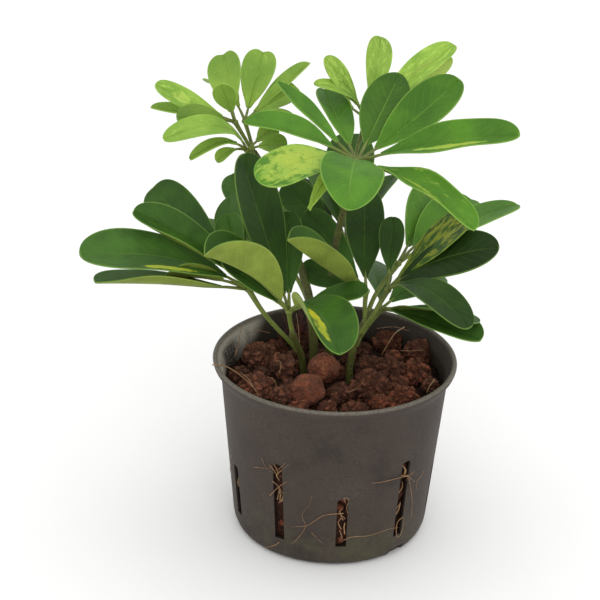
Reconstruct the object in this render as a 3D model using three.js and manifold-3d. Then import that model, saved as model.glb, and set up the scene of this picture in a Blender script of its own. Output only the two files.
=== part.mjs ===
// Potted umbrella plant: young cuttings in expanded clay pellets, in a slotted culture pot.
// Millimetres, +Z up. The origin is the centre of the pot's underside and -Y faces the viewer.
import * as THREE from 'three';
import { mergeVertices } from 'three/addons/utils/BufferGeometryUtils.js';
import Module from 'manifold-3d';

const wasm = await Module();
wasm.setup();

// Driving sizes of the pot, of the 11/9 culture pot size
const potSides = 36;
const potHeight = 84;
const rimRadius = 55;
const wallTopRadius = 51.2;
const wallBottomRadius = 44.4;
const wallThickness = 1.3;
const floorThickness = 1.6;
const slotCount = 10;
const slotWidth = 4.8;
const slotFoot = 11.5;
const longSlotTop = 51;
const shortSlotTop = 37;
const firstSlotTurn = 6;
const slotCutDepth = 20;
const floorSlitCount = 5;
const floorSlit = { width: 3, length: 20, middle: 24, turn: 42 };
const footNotch = { width: 9, depth: 8, height: 4.5, turns: [44, 164, 284] };

// Driving sizes of the filling and the plant
const gap = 0.3;
const bedTop = 70;
const bedSeed = 11;
const pelletTries = 900;
const pelletSpread = 47;
const pelletSpacing = 0.45;
const bladeThickness = 0.9;
const rootThickness = 2;
const stalkRadius = 0.75;
const petioleRadius = 1.05;
const knobRadius = 1.8;
const youngShare = 0.82;
const bladeRows = 6;
const rowCrowding = 1.35;
const bladeRise = 0.85;
const bluntFall = 0.45;
const stemSides = 8;
const stemSteps = 9;

const degrees = Math.PI / 180;

// Seeded draws, so that every run places the pellets alike
function seededDraws(seed) {
  let state = seed;
  return () => {
    state = (state * 1664525 + 1013904223) % 4294967296;
    return state / 4294967296;
  };
}

// A closed solid from a geometry, without the flat triangles that a lathe has at its axis
function toSolid(geometry) {
  geometry.deleteAttribute('normal');
  geometry.deleteAttribute('uv');
  const merged = mergeVertices(geometry);
  const corners = [];
  for (let start = 0; start < merged.index.count; start += 3) {
    const [a, b, c] = [0, 1, 2].map((offset) => merged.index.getX(start + offset));
    if (a !== b && b !== c && c !== a) corners.push(a, b, c);
  }
  const vertProperties = new Float32Array(merged.attributes.position.array);
  const triVerts = new Uint32Array(corners);
  return new wasm.Manifold(new wasm.Mesh({ numProp: 3, vertProperties, triVerts }));
}

function toMesh(name, solid, material) {
  const result = solid.getMesh();
  const geometry = new THREE.BufferGeometry();
  geometry.setAttribute('position', new THREE.Float32BufferAttribute(result.vertProperties, 3));
  geometry.setIndex(Array.from(result.triVerts));
  geometry.computeVertexNormals();
  const mesh = new THREE.Mesh(geometry, material);
  mesh.name = name;
  return mesh;
}

function joined(solids) {
  return solids.reduce((whole, next) => whole.add(next));
}

// A lathed solid: the profile runs from the axis to the axis, and is stood on the Z axis
function lathed(profile, sides) {
  const points = profile.map(([radius, height]) => new THREE.Vector2(radius, height));
  const geometry = new THREE.LatheGeometry(points, sides);
  geometry.rotateX(Math.PI / 2);
  return toSolid(geometry);
}

// A round bar that follows a smooth curve through the points, tapered from one radius to another
function taperedBar(points, startRadius, endRadius, sides, steps) {
  const curve = new THREE.CatmullRomCurve3(points.map((point) => new THREE.Vector3(...point)));
  const frames = curve.computeFrenetFrames(steps);
  const geometry = new THREE.CylinderGeometry(endRadius, startRadius, 1, sides, steps);
  const place = geometry.attributes.position;
  for (let index = 0; index < place.count; index += 1) {
    const along = Math.min(1, Math.max(0, place.getY(index) + 0.5));
    const step = Math.round(along * steps);
    const point = curve.getPointAt(along);
    point.addScaledVector(frames.binormals[step], place.getX(index));
    point.addScaledVector(frames.normals[step], place.getZ(index));
    place.setXYZ(index, point.x, point.y, point.z);
  }
  return toSolid(geometry);
}

// Bearing 0 is +X and 90 is +Y, away from the viewer; lift is the angle above level
function direction(bearing, lift) {
  const flat = Math.cos(lift * degrees);
  const x = Math.cos(bearing * degrees) * flat;
  const y = Math.sin(bearing * degrees) * flat;
  return new THREE.Vector3(x, y, Math.sin(lift * degrees));
}

// A cutter through the wall, turned from the front (-Y) toward +X
function slotCutter(outline, turn) {
  const shape = { depth: slotCutDepth, bevelEnabled: false, curveSegments: 2 };
  const geometry = new THREE.ExtrudeGeometry(outline, shape);
  geometry.rotateX(Math.PI / 2);
  geometry.translate(0, slotCutDepth / 2 - wallTopRadius, 0);
  geometry.rotateZ(turn * degrees);
  return toSolid(geometry);
}

// A slot with a square foot and a rounded head
function slotOutline(head) {
  const half = slotWidth / 2;
  const corner = half * 0.6;
  const outline = new THREE.Shape();
  outline.moveTo(-half, slotFoot);
  outline.lineTo(half, slotFoot);
  outline.lineTo(half, head - corner);
  outline.quadraticCurveTo(half, head, half - corner, head);
  outline.lineTo(corner - half, head);
  outline.quadraticCurveTo(-half, head, -half, head - corner);
  outline.closePath();
  return outline;
}

// The culture pot: flared lip, rounded foot, root slots in the wall and slits in the floor
function potSolid() {
  const footRadius = wallBottomRadius - 4.9;
  const profile = [
    [0, 0], [footRadius, 0], [wallBottomRadius - 1.8, 1.3], [wallBottomRadius, 5],
    [wallTopRadius, 77], [rimRadius - 0.6, 80.8], [rimRadius, potHeight - 1],
    [rimRadius - 0.5, potHeight], [rimRadius - 1.8, potHeight], [wallTopRadius - wallThickness, 77.2],
    [wallBottomRadius - wallThickness, 5.4], [wallBottomRadius - 2.8, 2.6],
    [footRadius, floorThickness], [0, floorThickness],
  ];
  let pot = lathed(profile, potSides);
  for (let index = 0; index < slotCount; index += 1) {
    const head = index % 2 === 0 ? shortSlotTop : longSlotTop;
    pot = pot.subtract(slotCutter(slotOutline(head), firstSlotTurn + index * 360 / slotCount));
  }
  for (let index = 0; index < floorSlitCount; index += 1) {
    const slit = new THREE.BoxGeometry(floorSlit.width, floorSlit.length, 4 * floorThickness);
    slit.translate(0, -floorSlit.middle, 0);
    slit.rotateZ((floorSlit.turn + index * 360 / floorSlitCount) * degrees);
    pot = pot.subtract(toSolid(slit));
  }
  for (const turn of footNotch.turns) {
    const notch = new THREE.BoxGeometry(footNotch.width, footNotch.depth, 2 * footNotch.height);
    notch.translate(0, -wallBottomRadius, 0);
    notch.rotateZ(turn * degrees);
    pot = pot.subtract(toSolid(notch));
  }
  return pot;
}

// The larger stones, each as x, y, width and the height of its crown above the bed
const shownStones = [
  [-23, 9, 15, 9], [-34, 20, 18, 9], [-35, -11, 18, 9], [-23, -21, 11, 8], [-16, -33, 10, 8],
  [2, -18, 12, 9], [-3, -32, 10, 8], [9, -33, 12, 8], [17, -11, 20, 11], [21, -28, 13, 9],
  [31, -20, 13, 9], [16, 11, 14, 9], [26, 5, 14, 10], [37, 4, 15, 10], [39, 26, 17, 10],
  [25, 38, 15, 9], [12, 28, 11, 8], [29, -9, 9, 9], [43, -8, 9, 8], [-43, 2, 10, 6],
];
// The two round pellets in front of the stems, as x, y, height of the centre and width
const roundPellets = [[-5, -1, 78, 14.6], [-12, -21, 77, 15.2]];
const stoneFoot = -6;

// A domed stone that widens all the way down, so no hollow is left under it
function stoneSolid(x, y, width, crown, draw, large) {
  const radius = width / 2;
  const stoneSides = large ? 7 : 6;
  const roundShoulder = [[radius * 0.9, crown * 0.5], [radius * 0.55, crown * 0.88]];
  const shoulder = large ? roundShoulder : [[radius * 0.7, crown * 0.8]];
  const profile = [[0, stoneFoot], [radius, stoneFoot], [radius, 0], ...shoulder, [0, crown]];
  const points = profile.map(([out, height]) => new THREE.Vector2(out, height));
  const geometry = new THREE.LatheGeometry(points, stoneSides);
  geometry.rotateX(Math.PI / 2);
  const bulges = Array.from({ length: stoneSides }, () => 0.84 + 0.32 * draw());
  const drops = Array.from({ length: stoneSides }, () => (draw() - 0.5) * crown * 0.22);
  const place = geometry.attributes.position;
  for (let index = 0; index < place.count; index += 1) {
    const out = Math.hypot(place.getX(index), place.getY(index));
    const turn = Math.atan2(place.getX(index), -place.getY(index)) / (2 * Math.PI);
    const side = (Math.round(turn * stoneSides) + stoneSides) % stoneSides;
    const bulge = out < 0.01 ? 1 : bulges[side];
    const drop = out < 0.01 || place.getZ(index) < 0.01 ? 0 : drops[side];
    place.setXYZ(index, place.getX(index) * bulge, place.getY(index) * bulge, place.getZ(index) + drop);
  }
  geometry.rotateZ(draw() * 2 * Math.PI);
  geometry.translate(x, y, bedTop);
  return toSolid(geometry);
}

// Where the filling may reach: the inside of the pot, less the gap
function potInside() {
  return lathed([
    [0, floorThickness + gap], [wallBottomRadius - 5.2, floorThickness + gap],
    [wallBottomRadius - 3.2, 2.6 + gap], [wallBottomRadius - wallThickness - gap, 5.6],
    [wallTopRadius - wallThickness - gap, 77.2], [wallTopRadius - wallThickness - gap, 95], [0, 95],
  ], potSides);
}

// The clay pellets: one packed body with a stony top, and a plain hole for each stem
function bedSolid(stemRooms) {
  const draw = seededDraws(bedSeed);
  const core = lathed([[0, 0], [60, 0], [60, bedTop - 2], [20, bedTop], [0, bedTop]], potSides);
  const stones = [];
  const taken = [];
  for (const [x, y, width, crown] of shownStones) {
    stones.push(stoneSolid(x, y, width, crown, draw, true));
    taken.push([x, y, width]);
  }
  for (const [x, y, height, width] of roundPellets) {
    const ball = new THREE.IcosahedronGeometry(width / 2, 1);
    ball.translate(x, y, height);
    stones.push(toSolid(ball));
    stones.push(stoneSolid(x, y, width * 0.8, height - bedTop, draw, true));
    taken.push([x, y, width]);
  }
  for (let index = 0; index < pelletTries; index += 1) {
    const out = pelletSpread * Math.sqrt(draw());
    const turn = 2 * Math.PI * draw();
    const width = 10 + 6 * draw();
    const [x, y] = [out * Math.cos(turn), out * Math.sin(turn)];
    const near = taken.some(([a, b, other]) => Math.hypot(a - x, b - y) < pelletSpacing * (other + width));
    if (!near) {
      stones.push(stoneSolid(x, y, width, 4 + 4 * draw(), draw, false));
      taken.push([x, y, width]);
    }
  }
  return joined([core, ...stones]).intersect(potInside()).subtract(joined(stemRooms));
}

// The stems: woody cuttings rooted among the pellets
const stems = {
  stem_left: {
    foot: [-13, 9, 36], way: [[-13.5, 8, 60], [-14.5, 5, 78], [-17.5, -4, 92]], tip: [-20, -10, 101],
    footRadius: 1.9, tipRadius: 1.3,
  },
  stem_right: {
    foot: [8, 3, 34], way: [[7, 3, 60], [7, 3, 78], [10, 1, 94]], tip: [15, 1, 106],
    footRadius: 2.3, tipRadius: 1.3,
  },
  stem_shoot: {
    foot: [-8, 14, 32], way: [[-9, 13, 60], [-10, 10, 90], [-14, 9, 115], [-27, 8.5, 150]],
    tip: [-38, 8, 178],
    footRadius: 2.3, tipRadius: 1.6,
  },
  stem_crown: {
    foot: [0, 18, 34], way: [[-1, 16, 60], [-3, 12, 90], [-3, 9, 118], [0, 5, 145]], tip: [5, 0, 168],
    footRadius: 2.2, tipRadius: 1.4,
  },
};

function stemBar(stem, extra) {
  const points = [stem.foot, ...stem.way, stem.tip];
  return taperedBar(points, stem.footRadius + extra, stem.tipRadius + extra, stemSides, stemSteps);
}

// The room that a stem needs: a gap all round it, below its foot and beyond its tip
function stemRoom(stem) {
  const [x, y, z] = stem.foot;
  const last = new THREE.Vector3(...stem.way[stem.way.length - 1]);
  const tip = new THREE.Vector3(...stem.tip);
  const beyond = tip.clone().addScaledVector(tip.clone().sub(last).normalize(), gap * 1.2);
  return stemBar({ ...stem, foot: [x, y, z - gap], tip: beyond.toArray() }, gap * 1.2);
}

// The middle surface of a leaflet blade, and how wide it is along its length
function bladeFrame(hub, face, shape) {
  const [bearing, lift, length, width, arch, roll, cup, notch = 0, droop = 0, fall = bluntFall] = shape;
  const along = direction(bearing, lift);
  const axis = direction(...face);
  const up = axis.clone().addScaledVector(along, -axis.dot(along)).normalize();
  const side = new THREE.Vector3().crossVectors(along, up);
  up.applyAxisAngle(along, roll * degrees);
  side.applyAxisAngle(along, roll * degrees);
  const down = new THREE.Vector3(0, 0, -1);
  const middle = (t) => new THREE.Vector3(...hub)
    .addScaledVector(along, length * t)
    .addScaledVector(up, arch * 4 * t * (1 - t))
    .addScaledVector(down, droop * t ** 3);
  const heading = (t) => along.clone().multiplyScalar(length)
    .addScaledVector(up, arch * 4 * (1 - 2 * t))
    .addScaledVector(down, droop * 3 * t * t).normalize();
  return { side, middle, heading, length, width, cup, notch, fall };
}

// Half the width of an obovate blade at a share of its length; a low fall gives a blunt tip
function halfWidth(share, width, fall) {
  const widest = bladeRise / (bladeRise + fall);
  const peak = widest ** bladeRise * (1 - widest) ** fall;
  return Math.max(rootThickness / 2, width / 2 * share ** bladeRise * (1 - share) ** fall / peak);
}

function bladePoint(frame, stalkShare, share, across) {
  const t = stalkShare + (1 - stalkShare) * share;
  const half = halfWidth(share, frame.width, frame.fall);
  const heading = frame.heading(t);
  const rise = new THREE.Vector3().crossVectors(frame.side, heading);
  const fold = Math.sin(frame.cup * degrees) * Math.abs(across) ** 1.3 * half;
  const back = frame.notch * (1 - Math.abs(across)) ** 2 * share ** 8;
  return frame.middle(t)
    .addScaledVector(frame.side, across * half * Math.cos(frame.cup * degrees))
    .addScaledVector(rise, fold)
    .addScaledVector(heading, -back);
}

// A closed blade on a grid, split into triangles alike on both faces
function bladeSolid(frame, stalkShare, rows) {
  const columns = 2;
  const positions = [];
  for (const face of [0.5, -0.5]) {
    for (let row = 0; row <= rows; row += 1) {
      const share = 1 - (1 - row / rows) ** rowCrowding;
      const [left, centre, right] = [-1, 0, 1].map((across) => bladePoint(frame, stalkShare, share, across));
      const heading = frame.heading(stalkShare + (1 - stalkShare) * share);
      const leftNormal = centre.clone().sub(left).cross(heading).normalize();
      const rightNormal = right.clone().sub(centre).cross(heading).normalize();
      const centreNormal = leftNormal.clone().add(rightNormal).normalize();
      const offset = face * (row === 0 ? rootThickness : bladeThickness);
      left.addScaledVector(leftNormal, offset);
      centre.addScaledVector(centreNormal, offset);
      right.addScaledVector(rightNormal, offset);
      for (const point of [left, centre, right]) positions.push(point.x, point.y, point.z);
    }
  }
  const at = (face, row, column) => (face * (rows + 1) + row) * (columns + 1) + column;
  const corners = [];
  const quad = (a, b, c, d) => corners.push(a, b, c, a, c, d);
  for (let row = 0; row < rows; row += 1) {
    for (let column = 0; column < columns; column += 1) {
      const [a, b] = [at(0, row, column), at(0, row, column + 1)];
      const [c, d] = [at(0, row + 1, column + 1), at(0, row + 1, column)];
      const under = (rows + 1) * (columns + 1);
      quad(a, b, c, d);
      corners.push(a + under, c + under, b + under, a + under, d + under, c + under);
    }
    quad(at(0, row, 0), at(0, row + 1, 0), at(1, row + 1, 0), at(1, row, 0));
    quad(at(0, row, columns), at(1, row, columns), at(1, row + 1, columns), at(0, row + 1, columns));
  }
  for (let column = 0; column < columns; column += 1) {
    quad(at(0, 0, column), at(1, 0, column), at(1, 0, column + 1), at(0, 0, column + 1));
    quad(at(0, rows, column), at(0, rows, column + 1), at(1, rows, column + 1), at(1, rows, column));
  }
  const geometry = new THREE.BufferGeometry();
  geometry.setAttribute('position', new THREE.Float32BufferAttribute(positions, 3));
  geometry.setIndex(corners);
  return toSolid(geometry);
}

// One leaflet: its blade, and the stalk that runs from the hub into the blade's root
function leafletSolid(leaf, blade) {
  const young = leaf.slot === 'leaf_young';
  const frame = bladeFrame(leaf.hub, leaf.face, blade);
  const stalkShare = leaf.stalk / frame.length;
  const rootShare = stalkShare + rootThickness / 2 / frame.length;
  const way = [0, stalkShare / 2, rootShare].map((t) => frame.middle(t).toArray());
  const startRadius = young ? stalkRadius * youngShare : stalkRadius;
  const stalk = taperedBar(way, startRadius, stalkRadius * 0.8, 4, young ? 1 : 2);
  return bladeSolid(frame, stalkShare, young ? bladeRows - 1 : bladeRows).add(stalk);
}

// One compound leaf: petiole, hub and leaflets in one body, its root a gap off the stem
function leafSolid(leaf, stemRoom) {
  const young = leaf.slot === 'leaf_young';
  const knob = new THREE.IcosahedronGeometry(young ? knobRadius * youngShare : knobRadius, 0);
  knob.translate(...leaf.hub);
  const radius = young ? petioleRadius * youngShare : petioleRadius;
  const petiole = taperedBar([leaf.root, ...leaf.way, leaf.hub], radius * 1.25, radius, 5, 4);
  const leaflets = leaf.blades.map((blade) => leafletSolid(leaf, blade));
  return joined([toSolid(knob), petiole, ...leaflets]).subtract(stemRoom);
}

// Every compound leaf: the stem and place it grows from, the hub that its leaflets spread from,
// the bearing and lift that the whorl faces, and its leaflets, each as
// bearing, lift, length with stalk, width, arch, roll, cup, and where it has them the notch in the
// tip, the droop of the tip and how the outline falls toward it
const leaves = [
  {
    name: 'leaf_left_outer', slot: 'leaf_dark', root: [-15.5, 2, 84], way: [[-30.8, -8.8, 106.5]],
    hub: [-39, -16, 123], face: [200, 65], stalk: 13,
    blades: [
      [204, 20, 81, 27, 8, -22, 12], [208, 13, 73, 24, 1, 4, 14], [188, 37.5, 62.5, 17.5, 7, -34, 34],
      [136, 25, 68.5, 21.5, 3, -18, 4, 0, 0, 0.35], [104, 32, 50, 19, 2, -20, 6], [214, 17, 46, 18, 4, 34, 20],
      [112, 40, 37, 14, 2, 0, 20],
    ],
  },
  {
    name: 'leaf_left_inner', slot: 'leaf_dark', root: [-19, -7, 97], way: [[-20.5, -12, 106]],
    hub: [-21, -16, 113], face: [270, 80], stalk: 8,
    blades: [
      [169, 72, 74, 28.5, 0, 6, 10], [95, 60, 44, 14, 1, 0, 14], [218, 40, 59, 30, 4, 14, 55],
      [292, 6, 59, 26, 11, -8, 24], [204, 41.5, 42.5, 9, 1, -30, 10],
      [0, 18.5, 36, 15, 1, 0, 10],
    ],
  },
  {
    name: 'leaf_right_outer', slot: 'leaf_dark', root: [11, 1, 95], way: [[16.5, -5, 108]],
    hub: [22, -6, 120], face: [320, 65], stalk: 9,
    blades: [
      [337, 31.5, 58, 23, 6, 22, 4, 0, 0, 0.5], [302, 6.5, 61, 16.5, 10, 19, 9], [354, 48, 54, 22, 2, -18, 4],
      [85.5, 44, 35, 11.5, 1, -22, 8],
    ],
  },
  {
    name: 'leaf_right_inner', slot: 'leaf_dark', root: [13, 0.8, 101], way: [[12.5, 0.3, 109]],
    hub: [12.7, 0, 116.4], face: [270, 75], stalk: 7,
    blades: [
      [92, 48, 49.5, 18, -3, 6, 4], [222, 38.5, 60, 24, -1, 6, 50], [141, 39, 45.5, 15, 0, -30, 10],
      [154, 8, 32.6, 12, 1, -40, 10],
    ],
  },
  {
    name: 'leaf_right_low', slot: 'leaf_dark', root: [9, 1.5, 89], way: [[14, 6, 96]],
    hub: [20, 8, 104], face: [330, 60], stalk: 7,
    blades: [
      [314, 13.5, 58, 18, 3, -6, 8], [312, 7, 61.5, 20, 3, 20, 18], [60, -2, 55, 20, 5, 0, 10],
      [100, 2, 54, 20, 5, 0, 10],
    ],
  },
  {
    name: 'leaf_right_back', slot: 'leaf_mid', root: [12.5, 1.2, 100], way: [[17.5, 9, 111]],
    hub: [27, 14, 124], face: [30, 65], stalk: 12,
    blades: [
      [70, 15, 60, 22, 2, 8, 14], [31, 14.5, 67, 20, 3, -3, 10], [52, 14, 58, 22, 3, 0, 15],
    ],
  },
  {
    name: 'leaf_back_mid', slot: 'leaf_dark', root: [-3, 11, 100], way: [[0, 22, 112]],
    hub: [4, 31, 124], face: [90, 65], stalk: 13,
    blades: [
      [88, 42, 58, 23, 4, 0, 12], [138, 26, 58, 22, 5, 0, 12], [55, 31, 45, 15, 2, 0, 12],
      [92, -8, 54, 20, 8, 0, 12], [114, 30, 54, 19, 3, 0, 12],
      [174, 43, 41, 18, 1, -80, 12],
    ],
  },
  {
    name: 'leaf_back_left', slot: 'leaf_dark', root: [-12.5, 9.5, 106], way: [[-18, 19, 113]],
    hub: [-25, 27, 120], face: [130, 65], stalk: 13,
    blades: [
      [156, 5, 57, 20, 4, 0, 12], [131, 37, 47, 20, 2, -20, 12], [178, 0, 52, 20, 8, 0, 12],
      [98, 2, 54, 21, 8, 0, 12],
    ],
  },
  {
    name: 'crown_leaf_front', slot: 'leaf_mid', root: [5, 0, 167], way: [[6, -7, 175]],
    hub: [6, -12, 182], face: [290, 78], stalk: 12,
    blades: [
      [176, 17, 50.5, 18, 4, 0, 24, 0, 0, 0.6], [145.5, 32, 50, 11.5, 0, 10, 18, 0, 0, 0.7],
      [107, 18, 51, 16.5, 0, 14, 18], [68, 26, 55.5, 20.5, -2, 14, 4, 0, 0, 0.6],
      [42.5, 22, 65, 21.5, -3, 13, 22, 0, 0, 0.5], [339, 19, 74, 18.5, 3, 18, 22, 0, 1],
      [312.5, -7, 70, 17, 5, -6, 26], [265, 22, 56, 27, 1, -4, 8, 0, 22, 0.58],
      [222, 3.5, 54, 24, 7, 0, 4], [234, 8, 34, 7, 2, -20, 20, 0, 16, 0.8],
    ],
  },
  {
    name: 'crown_leaf_top', slot: 'leaf_young', root: [4, 2, 164], way: [[6, 17, 173]],
    hub: [10.5, 34, 185], face: [40, 75], stalk: 9,
    blades: [
      [79, 41, 42.5, 12.5, 3, 10, 12], [33, 30, 54, 16, 1, 14, 20], [30, 26.5, 49.3, 10, 0, -110, 10],
      [201, 56, 36.5, 10, 1, -70, 12], [135, 16, 28, 10, 0, 0, 26], [211, 36.4, 34, 8, 5, -30, 16],
    ],
  },
  {
    name: 'young_leaf_left', slot: 'leaf_young', root: [-36.5, 8, 172.5], way: [[-40.5, 3.5, 182.5]],
    hub: [-46.3, 0, 194], face: [190, 55], stalk: 6,
    blades: [
      [180, 25, 37.5, 12, -1, -14, 10], [165, 3, 38, 8, 0, 0, 30], [102.5, 33.5, 37.3, 16, 1, 10, 14, 1],
      [201, 9.5, 26.5, 11, 3, -50, 16], [228, 65, 21, 10, 0, 120, 8],
    ],
  },
  {
    name: 'young_leaf_mid', slot: 'leaf_young', root: [-38, 8, 176.5], way: [[-40.3, 9.5, 184]],
    hub: [-42.4, 9, 191.2], face: [80, 75], stalk: 7,
    blades: [
      [78.5, 32, 40, 15.5, 1, 10, 18, 1], [50, 21.5, 45, 10, 0, 4, 28],
      [40, 19, 30, 12, 1, 40, 16], [130, 20, 30, 12, 4, 0, 20], [0, 0, 22, 9, 4, 0, 30],
    ],
  },
  {
    name: 'young_leaf_low', slot: 'leaf_young', root: [-35, 8, 167], way: [[-37.5, 1.5, 174.5]],
    hub: [-41, -2, 182], face: [230, 65], stalk: 6,
    blades: [
      [218, 17.6, 45, 12, 11, -20, 10], [211, 1, 27.4, 6.5, 7, -14, 26], [207, -12, 14.5, 6.5, 3.5, -14, 20],
      [350, 13, 18, 10, 2, 14, 10], [39, 25, 17, 9, 1, 20, 10],
    ],
  },
];

function slotMaterial(name, colour, roughness) {
  const material = new THREE.MeshStandardMaterial({ color: colour, roughness, metalness: 0 });
  material.name = name;
  return material;
}

const materials = {
  pot_plastic: slotMaterial('pot_plastic', 0x4b443e, 0.8),
  clay: slotMaterial('clay', 0x6a3c2b, 0.95),
  stem_bark: slotMaterial('stem_bark', 0x4f5a2c, 0.7),
  leaf_dark: slotMaterial('leaf_dark', 0x2c5530, 0.5),
  leaf_mid: slotMaterial('leaf_mid', 0x3f7f2c, 0.5),
  leaf_young: slotMaterial('leaf_young', 0x80b048, 0.5),
};

const stemRooms = Object.values(stems).map(stemRoom);
const plant = new THREE.Group();
plant.add(toMesh('culture_pot', potSolid(), materials.pot_plastic));
plant.add(toMesh('clay_bed', bedSolid(stemRooms), materials.clay));

for (const [name, stem] of Object.entries(stems)) {
  plant.add(toMesh(name, stemBar(stem, 0), materials.stem_bark));
}
for (const leaf of leaves) {
  plant.add(toMesh(leaf.name, leafSolid(leaf, joined(stemRooms)), materials[leaf.slot]));
}

export default plant;
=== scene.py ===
import math
import random

import bmesh
import bpy
from mathutils import Matrix, Vector, noise


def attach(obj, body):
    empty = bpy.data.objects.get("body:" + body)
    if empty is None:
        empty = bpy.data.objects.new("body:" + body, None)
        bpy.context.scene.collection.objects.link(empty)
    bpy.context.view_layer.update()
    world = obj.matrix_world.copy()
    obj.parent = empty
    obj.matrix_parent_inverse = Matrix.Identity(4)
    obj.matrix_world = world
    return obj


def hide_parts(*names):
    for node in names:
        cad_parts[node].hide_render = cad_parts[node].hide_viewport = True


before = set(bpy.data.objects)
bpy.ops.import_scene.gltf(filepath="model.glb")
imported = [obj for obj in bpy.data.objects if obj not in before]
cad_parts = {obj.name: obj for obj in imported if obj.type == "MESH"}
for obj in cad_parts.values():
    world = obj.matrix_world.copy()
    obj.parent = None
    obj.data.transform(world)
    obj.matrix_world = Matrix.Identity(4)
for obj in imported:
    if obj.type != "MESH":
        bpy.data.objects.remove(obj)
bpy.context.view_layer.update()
mm = 0.001
weld = 1e-6  # points nearer than this are one
noise.seed_set(4)  # otherwise noise vectors follow the clock


def paint(code):  # a colour as it looks on screen, as linear light
    parts = [int(code[i:i + 2], 16) / 255 for i in (0, 2, 4)]
    return tuple(((p + 0.055) / 1.055) ** 2.4 if p > 0.04045 else p / 12.92 for p in parts) + (1.0,)


def roundPot(turn, radius, height):  # a place round the pot, turned from the front toward +X
    a = math.radians(turn)
    return Vector((math.sin(a) * radius, -math.cos(a) * radius, height))


def smoothPath(points, steps):  # an even walk along a smooth curve through the points
    spots = [Vector(p) for p in points]
    spots = [spots[0] * 2 - spots[1]] + spots + [spots[-1] * 2 - spots[-2]]
    fine = []
    for a, b, c, d in zip(spots, spots[1:], spots[2:], spots[3:]):
        for k in range(12):
            t = k / 12
            bend = (2 * a - 5 * b + 4 * c - d) * t ** 2 + (3 * b - a - 3 * c + d) * t ** 3
            fine.append(0.5 * (2 * b + (c - a) * t + bend))
    fine.append(spots[-2])
    lengths = [0.0]
    for a, b in zip(fine, fine[1:]):
        lengths.append(lengths[-1] + (b - a).length)
    path = []
    at = 0
    for k in range(steps + 1):
        goal = lengths[-1] * k / steps
        while at < len(fine) - 2 and lengths[at + 1] < goal:
            at += 1
        share = (goal - lengths[at]) / max(1e-9, lengths[at + 1] - lengths[at])
        path.append(fine[at].lerp(fine[at + 1], min(1.0, share)))
    return path


def facesOf(verts):  # each once, always in the same order
    return list(dict.fromkeys(face for vert in verts for face in vert.link_faces))


def edgesOf(verts):
    return list(dict.fromkeys(edge for vert in verts for edge in vert.link_edges))


def sweepTube(bm, path, radii, sides, slot=0):  # a closed round bar, path and radii in mm
    ahead = (path[1] - path[0]).normalized()
    side = ahead.orthogonal().normalized()
    places = []
    for i, point in enumerate(path):
        after = (path[min(i + 1, len(path) - 1)] - path[max(i - 1, 0)]).normalized()
        side = (ahead.rotation_difference(after) @ side).normalized()
        ahead = after
        turn = Matrix((side, ahead.cross(side), ahead)).transposed().to_4x4()
        size = Matrix.Diagonal((radii[i] * mm, radii[i] * mm, mm, 1))
        places.append(Matrix.Translation(point * mm) @ turn @ size)
    made = bmesh.ops.create_circle(bm, cap_ends=True, segments=sides, radius=1.0, matrix=places[0])
    verts = list(made["verts"])
    ring = edgesOf(verts)
    everyVert = list(verts)
    for before, after in zip(places, places[1:]):
        grown = bmesh.ops.extrude_edge_only(bm, edges=ring)["geom"]
        verts = [g for g in grown if isinstance(g, bmesh.types.BMVert)]
        fresh = set(verts)
        ring = [edge for edge in edgesOf(verts) if edge.verts[0] in fresh and edge.verts[1] in fresh]
        bmesh.ops.transform(bm, matrix=after @ before.inverted(), verts=verts)
        everyVert += verts
    bmesh.ops.contextual_create(bm, geom=ring)
    faces = facesOf(everyVert)
    bmesh.ops.recalc_face_normals(bm, faces=faces)
    for face in faces:
        face.material_index = slot
        face.smooth = True
    return everyVert


def turnProfile(bm, points, steps):  # spins a line of radii and heights about the pot's axis
    verts = [bm.verts.new((radius * mm, 0, height * mm)) for radius, height in points]
    edges = [bm.edges.new(pair) for pair in zip(verts, verts[1:])]
    bmesh.ops.spin(
        bm, geom=verts + edges, axis=(0, 0, 1), cent=(0, 0, 0), angle=2 * math.pi, steps=steps,
        use_merge=True, use_normal_flip=False, use_duplicate=False)
    bmesh.ops.remove_doubles(bm, verts=bm.verts, dist=weld)
    bmesh.ops.dissolve_degenerate(bm, dist=weld, edges=bm.edges)
    bmesh.ops.recalc_face_normals(bm, faces=bm.faces)


def markCreases(bm, angle):  # edges sharper than this stay crisp when shaded smooth
    limit = math.radians(angle)
    for face in bm.faces:
        face.smooth = True
    for edge in bm.edges:
        edge.smooth = len(edge.link_faces) == 2 and edge.calc_face_angle(0) < limit


def newObject(name, data):
    made = bpy.data.objects.new(name, data)
    bpy.context.scene.collection.objects.link(made)
    return made


def newMesh(name, bm):
    mesh = bpy.data.meshes.new(name)
    bm.to_mesh(mesh)
    bm.free()
    return mesh


def pieceName(node):  # stem_left becomes stemLeft
    first, *rest = node.split("_")
    return first + "".join(part.title() for part in rest)


def finishPiece(name, bm, materials, nodes=()):
    mesh = newMesh(name, bm)
    for material in materials:
        mesh.materials.append(material)
    piece = newObject(name, mesh)
    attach(piece, "root")
    if nodes:
        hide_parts(*nodes)


def withModifier(bm, kind, settings):  # the mesh as a modifier leaves it
    mesh = newMesh("draft", bm)
    for _ in range(3):
        mesh.materials.append(None)  # room for an underside of another material
    draft = newObject("draft", mesh)
    modifier = draft.modifiers.new(kind, kind)
    for key, value in settings.items():
        setattr(modifier, key, value)
    graph = bpy.context.evaluated_depsgraph_get()
    done = bpy.data.meshes.new_from_object(draft.evaluated_get(graph))
    result = bmesh.new()
    result.from_mesh(done)
    bpy.data.objects.remove(draft)
    bpy.data.meshes.remove(mesh)
    bpy.data.meshes.remove(done)
    return result


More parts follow.
